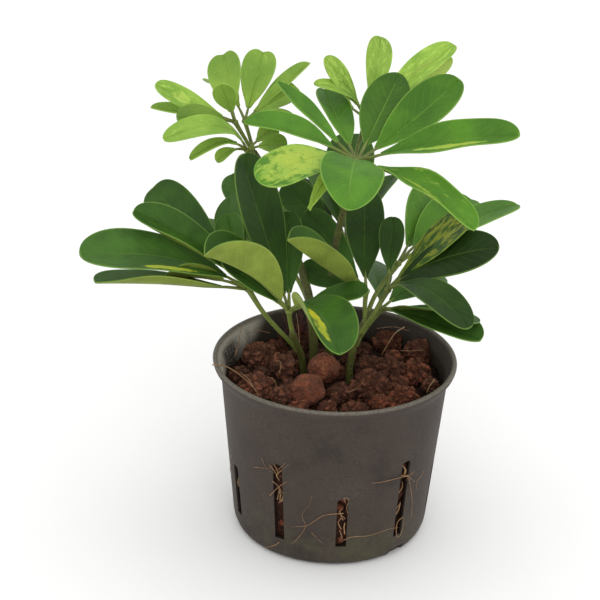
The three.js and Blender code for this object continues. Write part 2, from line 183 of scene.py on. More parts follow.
def addNode(tree, kind, inputs=None, **settings):
    node = tree.nodes.new("ShaderNode" + kind)
    for key, value in settings.items():
        setattr(node, key, value)
    for key, value in (inputs or {}).items():
        if isinstance(value, bpy.types.NodeSocket):
            tree.links.new(value, node.inputs[key])
        else:
            node.inputs[key].default_value = value
    return node


def work(tree, operation, a, b=0.0, c=0.0):
    return addNode(tree, "Math", {0: a, 1: b, 2: c}, operation=operation).outputs[0]


def times(tree, a, b):
    return work(tree, "MULTIPLY", a, b)


def scaled(tree, a, factor, added):
    return work(tree, "MULTIPLY_ADD", a, factor, added)


def ramp(tree, value, start, end):  # 0 at start and 1 at end, with soft ends
    return addNode(tree, "MapRange", {0: value, 1: start, 2: end}, interpolation_type="SMOOTHSTEP").outputs[0]


def mixed(tree, share, a, b):
    return addNode(tree, "Mix", {0: share, 6: a, 7: b}, data_type="RGBA").outputs[2]


def brightened(tree, value, colour):
    return addNode(tree, "HueSaturation", {"Value": value, "Color": colour}).outputs[0]


def noiseAt(tree, place, scale, detail=2.0, rough=0.5):
    inputs = {"Vector": place, "Scale": scale, "Detail": detail, "Roughness": rough}
    return addNode(tree, "TexNoise", inputs).outputs[0]


def fromMesh(tree, name):  # a colour that the mesh carries
    return addNode(tree, "Attribute", attribute_name=name, attribute_type="GEOMETRY").outputs["Color"]


def newGroup(name, inputs, outputs):
    group = bpy.data.node_groups.new(name, "ShaderNodeTree")
    for label, kind in inputs.items():
        group.interface.new_socket(label, in_out="INPUT", socket_type="NodeSocket" + kind)
    for label, kind in outputs.items():
        group.interface.new_socket(label, in_out="OUTPUT", socket_type="NodeSocket" + kind)
    given = group.nodes.new("NodeGroupInput").outputs
    result = group.nodes.new("NodeGroupOutput").inputs
    return group, given, result


def fromGroup(tree, group, inputs):
    return addNode(tree, "Group", inputs, node_tree=group).outputs


def newMaterial(name):
    material = bpy.data.materials.new(name)
    material.use_nodes = True
    tree = material.node_tree
    shader = tree.nodes["Principled BSDF"]
    place = addNode(tree, "TexCoord").outputs["Object"]
    return material, tree, shader, place


def connect(tree, shader, colour, rough, height, relief, specular):
    tree.links.new(colour, shader.inputs["Base Color"])
    tree.links.new(rough, shader.inputs["Roughness"])
    bump = addNode(tree, "Bump", {"Height": height, "Distance": relief, "Strength": 1.0})
    tree.links.new(bump.outputs[0], shader.inputs["Normal"])
    shader.inputs["Specular IOR Level"].default_value = specular


def makeGrit():  # a mineral, bark or plastic in three tones, with patches, grains and pits
    group, given, result = newGroup(
        "grit",
        {"Place": "Vector", "Base": "Color", "Light": "Color", "Dark": "Color",
         "Patch Scale": "Float", "Grain Scale": "Float", "Pit Scale": "Float", "Light Share": "Float"},
        {"Colour": "Color", "Height": "Float", "Grain": "Float"})
    patch = noiseAt(group, given["Place"], given["Patch Scale"], 4, 0.6)
    grain = noiseAt(group, given["Place"], given["Grain Scale"], 5, 0.7)
    cells = addNode(group, "TexVoronoi", {"Vector": given["Place"], "Scale": given["Pit Scale"]})
    pit = ramp(group, cells.outputs["Distance"], 0.3, 0.1)
    light = times(group, ramp(group, scaled(group, grain, 0.5, patch), 0.72, 1.0), given["Light Share"])
    dark = times(group, work(group, "MAXIMUM", ramp(group, patch, 0.47, 0.3), pit), 0.75)
    colour = mixed(group, light, given["Base"], given["Light"])
    group.links.new(mixed(group, dark, colour, given["Dark"]), result["Colour"])
    height = work(group, "SUBTRACT", scaled(group, patch, 0.6, grain), pit)
    group.links.new(height, result["Height"])
    group.links.new(grain, result["Grain"])
    return group


leafScales = {  # of the noises on a leaflet, per metre
    "cloud": 45.0, "fine": 380.0, "grain": 1900.0, "ragged": 210.0, "fleck": 200.0}
sideVeins = {"count": 10.0, "slant": -2.6}


def makeLeafPattern():  # veins, pale margin, mottling and yellow variegation on a leaflet
    group, given, result = newGroup(
        "leafPattern",
        {"Sheet": "Vector", "Place": "Vector", "Look": "Color", "Patch": "Color", "Face": "Color",
         "Shade": "Color", "Vein": "Color", "Rim": "Color", "Gold": "Color", "Vein Share": "Float"},
        {"Colour": "Color", "Roughness": "Float", "Height": "Float"})
    place = given["Place"]
    sheet = addNode(group, "SeparateXYZ", {0: given["Sheet"]}).outputs
    tone, streaks, patchLength = addNode(group, "SeparateColor", {0: given["Look"]}).outputs
    patchAcross, patchAlong, patchWidth = addNode(group, "SeparateColor", {0: given["Patch"]}).outputs
    across = work(group, "ABSOLUTE", scaled(group, sheet[0], 2.0, -1.0))
    along = sheet[1]
    cloud = noiseAt(group, place, leafScales["cloud"], 3, 0.55)
    fine = noiseAt(group, place, leafScales["fine"], 4, 0.65)
    grain = noiseAt(group, place, leafScales["grain"], 2, 0.6)
    # side veins run forward and outward from the midrib
    phase = scaled(group, across, sideVeins["slant"], times(group, along, sideVeins["count"]))
    phase = scaled(group, fine, 0.35, phase)
    veinWave = work(group, "PINGPONG", phase, 0.5)
    sideVein = times(group, ramp(group, veinWave, 0.40, 0.5), ramp(group, across, 1.0, 0.35))
    ribWidth = scaled(group, along, -0.035, 0.06)
    rib = ramp(group, work(group, "DIVIDE", across, ribWidth), 1.2, 0.4)
    rib = times(group, rib, ramp(group, along, 1.0, 0.8))
    margin = work(group, "MAXIMUM", ramp(group, across, 0.945, 0.985), ramp(group, along, 0.988, 0.996))
    # one variegated patch with a ragged outline
    offs = []
    for at, middle, half in ((sheet[0], patchAcross, patchWidth), (along, patchAlong, patchLength)):
        off = work(group, "DIVIDE", work(group, "SUBTRACT", at, middle), work(group, "MAXIMUM", half, 0.001))
        offs.append(work(group, "POWER", off, 2.0))
    patchFar = work(group, "SQRT", work(group, "ADD", offs[0], offs[1]))
    ragged = scaled(group, noiseAt(group, place, leafScales["ragged"], 3, 0.6), 1.5, patchFar)
    fleck = ramp(group, noiseAt(group, place, leafScales["fleck"], 2, 0.5), 0.58, 0.68)
    gold = times(group, ramp(group, ragged, 1.8, 1.5), scaled(group, fleck, -0.6, 1.0))
    # streaks that run along the side veins
    streakPlace = addNode(group, "CombineXYZ", {0: times(group, sheet[0], 9.0), 1: phase, 2: tone})
    streakNoise = noiseAt(group, streakPlace.outputs[0], 0.9, 3, 0.6)
    streakEdge = scaled(group, streaks, -0.5, 0.82)
    streak = ramp(group, work(group, "SUBTRACT", streakNoise, streakEdge), -0.08, 0.1)
    streak = times(group, streak, times(group, ramp(group, streaks, 0.0, 0.05), 0.75))
    # colours from the ground up
    colour = mixed(group, ramp(group, cloud, 0.35, 0.65), given["Shade"], given["Face"])
    # each leaflet's tone: partly its own lightness, partly painted light and shade for how lit it stands
    colour = brightened(group, scaled(group, tone, 1.0, 0.5), colour)
    colour = mixed(group, times(group, sideVein, given["Vein Share"]), colour, given["Vein"])
    streakTone = mixed(group, 0.45, given["Vein"], given["Gold"])
    colour = mixed(group, streak, colour, brightened(group, scaled(group, tone, 0.7, 0.6), streakTone))
    goldTone = mixed(group, times(group, ramp(group, cloud, 0.6, 0.4), 0.6), given["Gold"], given["Vein"])
    colour = mixed(group, gold, colour, goldTone)
    ribShare = scaled(group, given["Vein Share"], 1.2, 0.12)
    colour = mixed(group, times(group, rib, ribShare), colour, given["Vein"])
    colour = mixed(group, times(group, margin, 0.45), colour, given["Rim"])
    colour = brightened(group, scaled(group, grain, 0.5, 0.75), colour)
    group.links.new(colour, result["Colour"])
    rough = scaled(group, fine, 0.25, 0.4)
    group.links.new(scaled(group, gold, 0.05, rough), result["Roughness"])
    quilt = scaled(group, sideVein, -0.5, times(group, fine, 0.5))
    group.links.new(scaled(group, rib, -0.8, scaled(group, grain, 0.12, quilt)), result["Height"])
    return group


grit = makeGrit()
leafPattern = makeLeafPattern()


def addGrit(tree, place, look):
    inputs = {label: paint(look[label.lower()]) for label in ("Base", "Light", "Dark")}
    inputs.update(zip(("Patch Scale", "Grain Scale", "Pit Scale"), look["scales"]))
    return fromGroup(tree, grit, {"Place": place, "Light Share": look["lightShare"], **inputs})


view = {
    "target": (-16.42, 0.0, 111.12), "distance": 900.0, "lift": 24.87, "roll": 1.63, "lens": 121.62,
    "sensor": 36.0, "near": 0.05, "far": 30.0,
}
light = {
    "sky": 0.92, "aim": (0, 0, 0.1), "keyPower": 7.0, "keySize": 1.2, "keyFrom": (0.1, -1.45, 1.3),
    "topPower": 3.5, "topSize": 1.4, "topFrom": (0.1, 0.3, 1.7),
}
floorLook = {"half": 6.0, "tone": "ffffff", "shade": "fcfcfb", "cloudScale": 3.0, "rough": 0.9, "specular": 0.1}


def makeStage():
    lift = math.radians(view["lift"])
    ahead = Vector((0, math.cos(lift), -math.sin(lift)))
    right = Matrix.Rotation(-math.radians(view["roll"]), 3, ahead) @ Vector((1, 0, 0))
    data = bpy.data.cameras.new("camera")
    data.lens = view["lens"]
    data.sensor_width = view["sensor"]
    data.clip_start, data.clip_end = view["near"], view["far"]
    camera = newObject("camera", data)
    place = Matrix((right, right.cross(ahead), -ahead)).transposed().to_4x4()
    place.translation = (Vector(view["target"]) - ahead * view["distance"]) * mm
    camera.matrix_world = place
    bpy.context.scene.camera = camera
    for name in ("key", "top"):
        lampData = bpy.data.lights.new(name, "AREA")
        lampData.shape = "DISK"
        lampData.energy = light[name + "Power"]
        lampData.size = light[name + "Size"]
        lamp = newObject(name, lampData)
        source = Vector(light[name + "From"])
        lamp.location = source
        lamp.rotation_euler = (Vector(light["aim"]) - source).to_track_quat("-Z", "Y").to_euler()
    world = bpy.data.worlds.new("studio")
    bpy.context.scene.world = world
    world.use_nodes = True
    sky = world.node_tree.nodes["Background"].inputs
    sky[0].default_value = (1, 1, 1, 1)
    sky[1].default_value = light["sky"]
    bm = bmesh.new()
    bmesh.ops.create_grid(bm, x_segments=2, y_segments=2, size=floorLook["half"])
    mesh = newMesh("studioFloor", bm)
    material, tree, shader, place = newMaterial("studioFloor")
    cloud = noiseAt(tree, place, floorLook["cloudScale"])
    pale = mixed(tree, cloud, paint(floorLook["tone"]), paint(floorLook["shade"]))
    tree.links.new(pale, shader.inputs["Base Color"])
    shader.inputs["Roughness"].default_value = floorLook["rough"]
    shader.inputs["Specular IOR Level"].default_value = floorLook["specular"]
    mesh.materials.append(material)
    newObject("studioFloor", mesh)
    bpy.context.scene.view_settings.view_transform = "Standard"


makeStage()
print("stage: camera, lights and floor")

potLook = {
    "base": "3e352f", "light": "554b42", "dark": "312a25", "dust": "4c4a35", "scratch": "857d70",
    # the rim colour is partly a painted highlight, the pale inside colour partly painted light, the deep colour
    # painted shade, and the grime colour also painted shade in the slots
    "rim": "7d776c", "inside": "dcd4c8", "deep": "3a342e", "grime": "1f1713",
    "scales": (38.0, 1500.0, 900.0), "lightShare": 0.3,  # patches, grains and pits per metre
    "dustScale": 60.0, "grimeScale": 75.0, "sparkleScale": 1000.0,
    "scratches": ((0.35, 120.0), (-0.6, 90.0), (1.3, 150.0)),  # turn, and how close together
    "relief": 0.00016, "specular": 0.25,
    # the wall's radius at the floor, how much it widens with height, and the lip's flare, in metres
    "innerFoot": 0.0435, "outerFoot": 0.0439, "wallSlope": 0.0944, "flare": 0.0029,
}


def makePotPlastic():  # matte recycled plastic, dusty, with fine scratches, a worn lip with a painted highlight, and painted light and shade on the inner wall and in the slots
    material, tree, shader, place = newMaterial("pottedPlastic")
    speckle = addGrit(tree, place, potLook)
    grain, colour = speckle["Grain"], speckle["Colour"]
    x, y, z = addNode(tree, "SeparateXYZ", {0: place}).outputs
    # dust from the growing bench, low on the front
    front = scaled(tree, ramp(tree, y, 0.0, -0.040), 0.5, 0.2)
    dust = ramp(tree, noiseAt(tree, place, potLook["dustScale"], 5, 0.7), 0.42, 0.62)
    dust = times(tree, times(tree, ramp(tree, z, 0.030, 0.004), dust), front)
    colour = mixed(tree, dust, colour, paint(potLook["dust"]))
    # scratches: thin bands of stretched noise, kept to a few places
    scratchMask = None
    for turn, scale in potLook["scratches"]:
        bent = addNode(tree, "Mapping", {
            "Vector": place, "Rotation": (0.2, turn, 0.0), "Scale": (scale, scale, scale * 14)})
        line = noiseAt(tree, bent.outputs[0], 1.0, 2, 0.5)
        here = ramp(tree, work(tree, "ABSOLUTE", work(tree, "SUBTRACT", line, 0.5)), 0.006, 0.001)
        where = ramp(tree, noiseAt(tree, place, 55.0 + 20 * turn, 1, 0.5), 0.60, 0.68)
        here = times(tree, here, where)
        scratchMask = here if scratchMask is None else work(tree, "MAXIMUM", scratchMask, here)
    colour = mixed(tree, times(tree, scratchMask, 0.5), colour, paint(potLook["scratch"]))
    # the lip is paler along its top: partly wear, partly a painted highlight
    lipWearAndHighlight = times(tree, ramp(tree, z, 0.0822, 0.0838), ramp(tree, grain, 0.30, 0.55))
    colour = mixed(tree, times(tree, lipWearAndHighlight, 0.8), colour, paint(potLook["rim"]))
    # the inner wall is pale on the left, partly from wear and partly painted light, and painted shade makes it
    # dark elsewhere
    outward = work(tree, "SQRT", scaled(tree, x, x, times(tree, y, y)))
    flare = times(tree, ramp(tree, z, 0.0765, 0.0835), potLook["flare"])
    wall = work(tree, "ADD", scaled(tree, z, potLook["wallSlope"], potLook["innerFoot"]), flare)
    inner = ramp(tree, work(tree, "SUBTRACT", outward, wall), 0.0, -0.0008)
    inner = times(tree, inner, ramp(tree, z, 0.0842, 0.0815))
    inner = times(tree, inner, ramp(tree, z, 0.060, 0.066))
    slant = scaled(tree, z, -0.6, work(tree, "ADD", x, 0.0504))
    paleWearAndLight = times(tree, ramp(tree, slant, -0.029, -0.037), 0.8)
    insideTone = mixed(tree, paleWearAndLight, paint(potLook["deep"]), paint(potLook["inside"]))
    colour = mixed(tree, times(tree, inner, 0.8), colour, insideTone)
    # grime inside, in clouds, and one dark patch on the inner wall at the left
    grime = times(tree, ramp(tree, noiseAt(tree, place, potLook["grimeScale"], 4, 0.65), 0.52, 0.62), 0.35)
    aside = work(tree, "ABSOLUTE", work(tree, "SUBTRACT", y, 0.014))
    leftDarkPatch = times(tree, ramp(tree, x, -0.036, -0.041), ramp(tree, aside, 0.014, 0.004))
    leftDarkPatch = times(tree, leftDarkPatch, ramp(tree, grain, 0.35, 0.5))
    grime = times(tree, work(tree, "MAXIMUM", grime, leftDarkPatch), inner)
    grime = times(tree, grime, ramp(tree, z, 0.0825, 0.0785))
    colour = mixed(tree, grime, colour, paint(potLook["grime"]))
    # painted shade: the cut faces of the slots are darkened with the grime colour
    wall = scaled(tree, z, potLook["wallSlope"], potLook["outerFoot"])
    cut = ramp(tree, work(tree, "SUBTRACT", wall, outward), 0.0001, 0.0006)
    cut = times(tree, cut, ramp(tree, z, 0.009, 0.011))
    cut = times(tree, cut, ramp(tree, z, 0.056, 0.053))
    colour = mixed(tree, times(tree, cut, 0.85), colour, paint(potLook["grime"]))
    sparkle = scaled(tree, noiseAt(tree, place, potLook["sparkleScale"], 2, 0.7), 0.9, 0.55)
    rough = scaled(tree, grain, 0.25, 0.5)
    height = scaled(tree, scratchMask, -0.6, times(tree, speckle["Height"], 0.5))
    connect(
        tree, shader, brightened(tree, sparkle, colour), rough, height, potLook["relief"], potLook["specular"])
    return material


pot = {
    # radius and height of each corner from the middle of the floor, out, up and in again
    "profile": [
        (0, 0), (39.5, 0), (42.6, 1.3), (44.4, 5), (51.2, 77), (54.4, 80.8), (55, 83), (54.5, 84), (53.2, 84),
        (49.9, 77.2), (43.1, 5.4), (41.6, 2.6), (39.5, 1.6), (0, 1.6)],
    "softness": [0, 1.2, 1.2, 2.0, 1.6, 0.9, 0.5, 0.4, 0.6, 1.2, 1.0, 0.6, 0.6, 0],
    "sides": 180, "wallRows": 12, "tall": 50, "crease": 32,
    "slotCount": 10, "slotWidth": 4.8, "slotDepth": 20, "slotFoot": 11.5, "slotHeads": (37.0, 51.0),
    "firstTurn": 6.0, "headRound": 1.4,
    "slitCount": 5, "slitWidth": 3.0, "slitLength": 20.0, "slitMiddle": 24.0, "slitTurn": 42.0,
    "notchWidth": 9.0, "notchDepth": 8.0, "notchHeight": 4.5, "notchTurns": (44.0, 164.0, 284.0),
}


def softProfile(points, softness):  # each corner becomes a short round of three points
    fine = []
    for i, (point, soft) in enumerate(zip(points, softness)):
        here = Vector(point)
        if soft == 0:
            fine.append(here)
            continue
        back = Vector(points[i - 1]) - here
        on = Vector(points[i + 1]) - here
        start = here + back.normalized() * min(soft, back.length * 0.45)
        end = here + on.normalized() * min(soft, on.length * 0.45)
        fine += [start, (start + end) / 4 + here / 2, end]
    return fine


def wallRadius(height):  # the outside of the wall at a height
    return 44.4 + (51.2 - 44.4) * (height - 5) / 72


def slotPlaces():  # turn and head of each slot, short and long in turn
    for k in range(pot["slotCount"]):
        yield pot["firstTurn"] + 360 / pot["slotCount"] * k, pot["slotHeads"][k % 2]


def makePot(material):
    bm = bmesh.new()
    fine = softProfile(pot["profile"], pot["softness"])
    spots = []
    for a, b in zip(fine, fine[1:]):
        parts = pot["wallRows"] if (b - a).length > pot["tall"] and abs(b.y - a.y) > pot["tall"] else 1
        spots += [a.lerp(b, k / parts) for k in range(parts)]
    spots.append(fine[-1])
    turnProfile(bm, spots, pot["sides"])
    cutters = bmesh.new()

    def cut(width, depth, bottom, top, middle, turn, headRound=0.0):
        box = bmesh.ops.create_cube(cutters, size=1.0)["verts"]
        bmesh.ops.scale(cutters, vec=(width * mm, depth * mm, (top - bottom) * mm), verts=box)
        bmesh.ops.translate(cutters, vec=(0, -middle * mm, (top + bottom) / 2 * mm), verts=box)
        if headRound:
            high = [edge for edge in edgesOf(box) if all(v.co.z > (top - 0.1) * mm for v in edge.verts)]
            heads = [edge for edge in high if abs(edge.verts[0].co.x - edge.verts[1].co.x) < weld]
            bent = bmesh.ops.bevel(
                cutters, geom=heads, offset=headRound * mm, segments=4, profile=0.5, affect="EDGES",
                material=-1)
            box = list(dict.fromkeys([v for v in box if v.is_valid] + bent["verts"]))
        spun = Matrix.Rotation(math.radians(turn), 4, "Z")
        bmesh.ops.transform(cutters, matrix=spun, verts=box)

    for turn, head in slotPlaces():
        cut(pot["slotWidth"], pot["slotDepth"], pot["slotFoot"], head, 51.2, turn, pot["headRound"])
    for k in range(pot["slitCount"]):
        turn = pot["slitTurn"] + 360 / pot["slitCount"] * k
        cut(pot["slitWidth"], pot["slitLength"], -4, 4, pot["slitMiddle"], turn)
    for turn in pot["notchTurns"]:
        cut(pot["notchWidth"], pot["notchDepth"], -2, pot["notchHeight"], 44.4, turn)
    cutter = newObject("cutters", newMesh("cutters", cutters))
    bm = withModifier(bm, "BOOLEAN", {"operation": "DIFFERENCE", "solver": "EXACT", "object": cutter})
    bpy.data.objects.remove(cutter)
    bmesh.ops.remove_doubles(bm, verts=bm.verts, dist=weld)
    markCreases(bm, pot["crease"])
    finishPiece("culturePot", bm, [material], ["culture_pot"])


makePot(makePotPlastic())
print("pot: wall, lip, slots, slits and foot notches")

clayLook = {
    # the crease colour is painted shade, for the creases between lumps and the cracks between crumbs
    "base": "7a5140", "light": "b87253", "dark": "45291f", "warm": "a8573a", "crease": "26160f",
    "lightShare": 0.8, "scales": (260.0, 1300.0, 800.0), "warmScale": 330.0, "crumbScale": 420.0,
    "relief": 0.0007, "specular": 0.25,
}
# the core's darker clay is painted shade for the gaps between the pellets
shadedClayLook = {
    **clayLook, "base": "3c251c", "light": "6d3d22", "dark": "170e0c", "warm": "6d3d22", "crease": "120a08",
    "lightShare": 0.5,
}


def makeCrumble():  # a surface broken into crumbs of two sizes: how high it is, and where it splits
    group, given, result = newGroup(
        "crumble", {"Place": "Vector", "Scale": "Float"}, {"Height": "Float", "Split": "Float"})
    bend = addNode(group, "TexNoise", {"Vector": given["Place"], "Scale": given["Scale"], "Detail": 2.0})
    bent = addNode(
        group, "VectorMath", {0: bend.outputs["Color"], 1: (0.0016, 0.0016, 0.0016), 2: given["Place"]},
        operation="MULTIPLY_ADD")
    height = None
    split = None
    for finer, share in ((1.0, 1.0), (2.3, 0.5)):
        scale = times(group, given["Scale"], finer)
        edge = addNode(
            group, "TexVoronoi", {"Vector": bent.outputs[0], "Scale": scale}, feature="DISTANCE_TO_EDGE")
        dome = ramp(group, edge.outputs["Distance"], 0.0, 0.34)
        crack = ramp(group, edge.outputs["Distance"], 0.12, 0.0)
        height = times(group, dome, share) if height is None else scaled(group, dome, share, height)
        split = crack if split is None else work(group, "MAXIMUM", split, times(group, crack, 0.6))
    group.links.new(height, result["Height"])
    group.links.new(split, result["Split"])
    return group


crumble = makeCrumble()


def makeClay(name, look):
    material, tree, shader, place = newMaterial(name)
    stone = addGrit(tree, place, look)
    crumbs = fromGroup(tree, crumble, {"Place": place, "Scale": look["crumbScale"]})
    tone, warmth, crease = addNode(tree, "SeparateColor", {0: fromMesh(tree, "stoneToneAndShade")}).outputs
    warmPlace = ramp(tree, noiseAt(tree, place, look["warmScale"], 3, 0.6), 0.3, 0.65)
    colour = mixed(tree, times(tree, warmth, warmPlace), stone["Colour"], paint(look["warm"]))
    # each stone's tone brightens it; on the stones at the left it is partly painted light
    colour = brightened(tree, scaled(tree, tone, 1.0, 0.5), colour)
    # painted shade: cracks between crumbs and creases between lumps are darkened
    deep = scaled(tree, crumbs["Split"], 0.5, ramp(tree, crease, 0.12, 0.75))
    colour = mixed(tree, times(tree, deep, 0.5), colour, paint(look["crease"]))
    rough = scaled(tree, stone["Grain"], 0.1, 0.85)
    height = scaled(tree, crumbs["Height"], 0.8, stone["Height"])
    connect(tree, shader, colour, rough, height, look["relief"], look["specular"])
    return material


bed = {
    "top": 70.0, "seed": 11, "tries": 900, "spread": 47.0, "spacing": 0.45, "pelletDraws": 15,
    "lumpDepth": 0.3, "crumbDepth": 0.12, "innerRadius": 49.2,
    # how finely each kind is divided, the size of its lumps, and how far it stays within the wall's outside
    "kinds": {"shown": (5, 4.6, 1.5), "round": (4, 0, 1.5), "small": (4, 4.2, 1.5), "slot": (2, 3.4, 0.9)},
    "roundTone": (0.54, 0.4), "coreTone": (0.4, 0.2), "coreSides": 160, "coreGap": 2.0, "coreTop": 71,
    # x, y, width and crown above the bed, and how light and how orange each one is; how light is partly painted
    # light, raised on the stones at the left
    "shown": [
        (-23, 9, 15, 9, 0.95, 0.0), (-34, 20, 18, 9, 1.1, 0.0), (-35, -11, 18, 9, 1.05, 0.2),
        (-23, -21, 11, 8, 0.8, 0.1), (-16, -33, 10, 8, 0.66, 0.5), (2, -18, 12, 9, 0.52, 0.2),
        (-3, -32, 10, 8, 0.6, 0.4), (9, -33, 12, 8, 0.44, 0.3), (17, -11, 20, 11, 0.52, 0.25),
        (21, -28, 13, 9, 0.72, 0.8), (31, -20, 13, 9, 0.66, 0.6), (16, 11, 14, 9, 0.42, 0.1),
        (26, 5, 14, 10, 0.42, 0.15), (37, 4, 15, 10, 0.6, 0.5), (39, 26, 17, 10, 0.52, 0.3),
        (25, 38, 15, 9, 0.58, 0.4), (12, 28, 11, 8, 0.4, 0.1), (29, -9, 9, 9, 0.58, 0.45),
        (43, -8, 9, 8, 0.44, 0.2), (-43, 2, 10, 6, 0.4, 0.1),
    ],
    "round": [(-5, -1, 78, 14.6), (-12, -21, 77, 15.2)],  # x, y, z and width
}


def seededDraws(seed):  # the same draws as the solid model makes
    state = seed
    while True:
        state = (state * 1664525 + 1013904223) % 4294967296
        yield state / 4294967296


def skip(draw, count):  # draws that the solid model spends on the shape of a pellet
    for _ in range(count):
        next(draw)


def lumpAt(spot, size, away):  # 1 on top of a rounded lump, 0 in the crease between two
    near = noise.voronoi(spot / size + away + noise.noise_vector(spot / size * 0.9 + away) * 0.5)[0]
    return min(1.0, (near[1] - near[0]) / 0.5) ** 0.6


def addStone(bm, centre, half, kind, tone, warmth, key):
    detail, lumps, gap = bed["kinds"][kind]
    ball = bmesh.ops.create_icosphere(bm, subdivisions=detail, radius=1.0)["verts"]
    tones = bm.loops.layers.float_color["stoneToneAndShade"]
    away = Vector((key * 17.3, key * 5.1, key * 9.7))
    spin = Matrix.Rotation(key * 2.4, 3, "Z") @ Matrix.Rotation(0.35 * math.sin(key * 3.1), 3, "X")
    creaseShade = {}
    for vert in ball:
        ray = vert.co.normalized()
        spot = Vector((ray.x * half[0], ray.y * half[1], ray.z * half[2]))
        swell = 1 + 0.2 * noise.noise(spot / max(half) * 1.6 + away)
        if lumps:  # burst all over in lumps of two sizes, with deep creases between
            coarse = lumpAt(spot, lumps, away)
            small = lumpAt(spot, lumps * 0.42, away)
            swell += bed["lumpDepth"] * (coarse - 0.8) + bed["crumbDepth"] * (small - 0.8)
            # how deep in a crease between lumps the point lies, for painted shade there
            creaseShade[vert] = min(1.0, (1 - coarse) * 0.9 + (1 - small) * 0.55)
        else:
            swell += 0.02 * noise.noise(spot * 0.9 + away) - 0.02
            creaseShade[vert] = 0.0
        place = centre + spin @ (spot * swell)
        out = math.hypot(place.x, place.y)
        pressed = min(1.0, (wallRadius(place.z) - gap) / max(out, 1.0))  # flat where it lies against the wall
        vert.co = Vector((place.x * pressed, place.y * pressed, place.z)) * mm
    for face in facesOf(ball):
        face.smooth = True
        for loop in face.loops:
            loop[tones] = (tone, warmth, creaseShade[loop.vert], 1)


def newStones():
    bm = bmesh.new()
    bm.loops.layers.float_color.new("stoneToneAndShade")
    return bm


def makeShownPellets(clay, draw, rng):  # tells where they are and how wide
    bm = newStones()
    for key, (x, y, width, crown, tone, warmth) in enumerate(bed["shown"]):
        skip(draw, bed["pelletDraws"])
        half = (width * 0.54, width * (0.42 + 0.1 * rng.random()), width * 0.40)
        centre = Vector((x, y, bed["top"] + crown - half[2] * 0.97))
        addStone(bm, centre, half, "shown", tone, warmth, key + 1)
    for key, (x, y, height, width) in enumerate(bed["round"]):
        skip(draw, bed["pelletDraws"])
        addStone(bm, Vector((x, y, height)), (width / 2,) * 3, "round", *bed["roundTone"], key + 41)
    finishPiece("shownPellets", bm, [clay], ["clay_bed"])
    taken = [(x, y, width) for x, y, width, *rest in bed["shown"]]
    return taken + [(x, y, width) for x, y, height, width in bed["round"]]


def makeFillingPellets(clay, draw, rng, taken):
    bm = newStones()
    for _ in range(bed["tries"]):
        out = bed["spread"] * math.sqrt(next(draw))
        turn = 2 * math.pi * next(draw)
        width = 10 + 6 * next(draw)
        x, y = out * math.cos(turn), out * math.sin(turn)
        if any(math.hypot(a - x, b - y) < bed["spacing"] * (other + width) for a, b, other in taken):
            continue
        crown = 4 + 4 * next(draw)
        skip(draw, bed["pelletDraws"] - 2)
        taken.append((x, y, width))
        half = min(width * 0.47, max(3.0, bed["innerRadius"] - math.hypot(x, y)))
        centre = Vector((x, y, bed["top"] + crown - width * 0.36))
        tone = 0.34 + 0.24 * rng.random()
        warmth = rng.random() ** 2 * 0.6
        addStone(bm, centre, (half, half * 0.85, width * 0.37), "small", tone, warmth, len(taken) * 1.7)
    # pellets that fill the slots from behind
    for k, (turn, head) in enumerate(slotPlaces()):
        height = pot["slotFoot"] + 3.0 * rng.random()
        while height < head:
            half = 3.0 + 2.2 * rng.random()
            reach = wallRadius(height) - 1.7 - half * (0.98 + 0.25 * rng.random())
            place = roundPot(turn + rng.uniform(-2.2, 2.2), reach, height)
            tone = 0.5 + 0.4 * rng.random()
            warmth = 0.4 + 0.6 * rng.random()
            addStone(bm, place, (half, half * 0.8, half * 0.9), "slot", tone, warmth, k * 11 + height)
            height += half * 1.35
    finishPiece("fillingPellets", bm, [clay], ["clay_bed"])


def makePelletCore(shadedClay):  # the mass below the pellets, with a dimpled surface, in darker clay as painted shade for the deep gaps between pellets
    core = newStones()
    tones = core.loops.layers.float_color["stoneToneAndShade"]
    top = bed["coreTop"]
    rows = [(0, 2.2), (20, 2.2), (38.5, 2.2), (41.0, 3.6), (42.4, 6.0)]
    rows += [(wallRadius(z) - bed["coreGap"], z) for z in range(8, 72, 2)]
    rows += [(bed["innerRadius"], top + 1), (30, top), (12, top), (0, top)]
    turnProfile(core, rows, bed["coreSides"])
    for vert in core.verts:
        spot = vert.co / mm
        near = noise.voronoi(spot / 7.5)[0]
        dip = min(1.0, near[0] * 1.2) ** 2 * 3.2 + 0.5 * noise.noise(spot * 0.8)
        out = Vector((spot.x, spot.y, 0))
        if 6 < spot.z < top + 0.5 and out.length > 30:
            vert.co -= out.normalized() * max(0.0, dip) * mm
        elif spot.z >= top:
            vert.co.z -= max(0.0, dip) * mm
    for face in core.faces:
        face.smooth = True
        for loop in face.loops:
            loop[tones] = (*bed["coreTone"], 0, 1)
    finishPiece("pelletCore", core, [shadedClay], ["clay_bed"])


def makeBed():
    clay, shadedClay = makeClay("clayPellet", clayLook), makeClay("clayCore", shadedClayLook)
    draw = seededDraws(bed["seed"])
    rng = random.Random(5)
    taken = makeShownPellets(clay, draw, rng)
    makeFillingPellets(clay, draw, rng, taken)
    makePelletCore(shadedClay)


makeBed()
print("bed: shown pellets, filling and core")

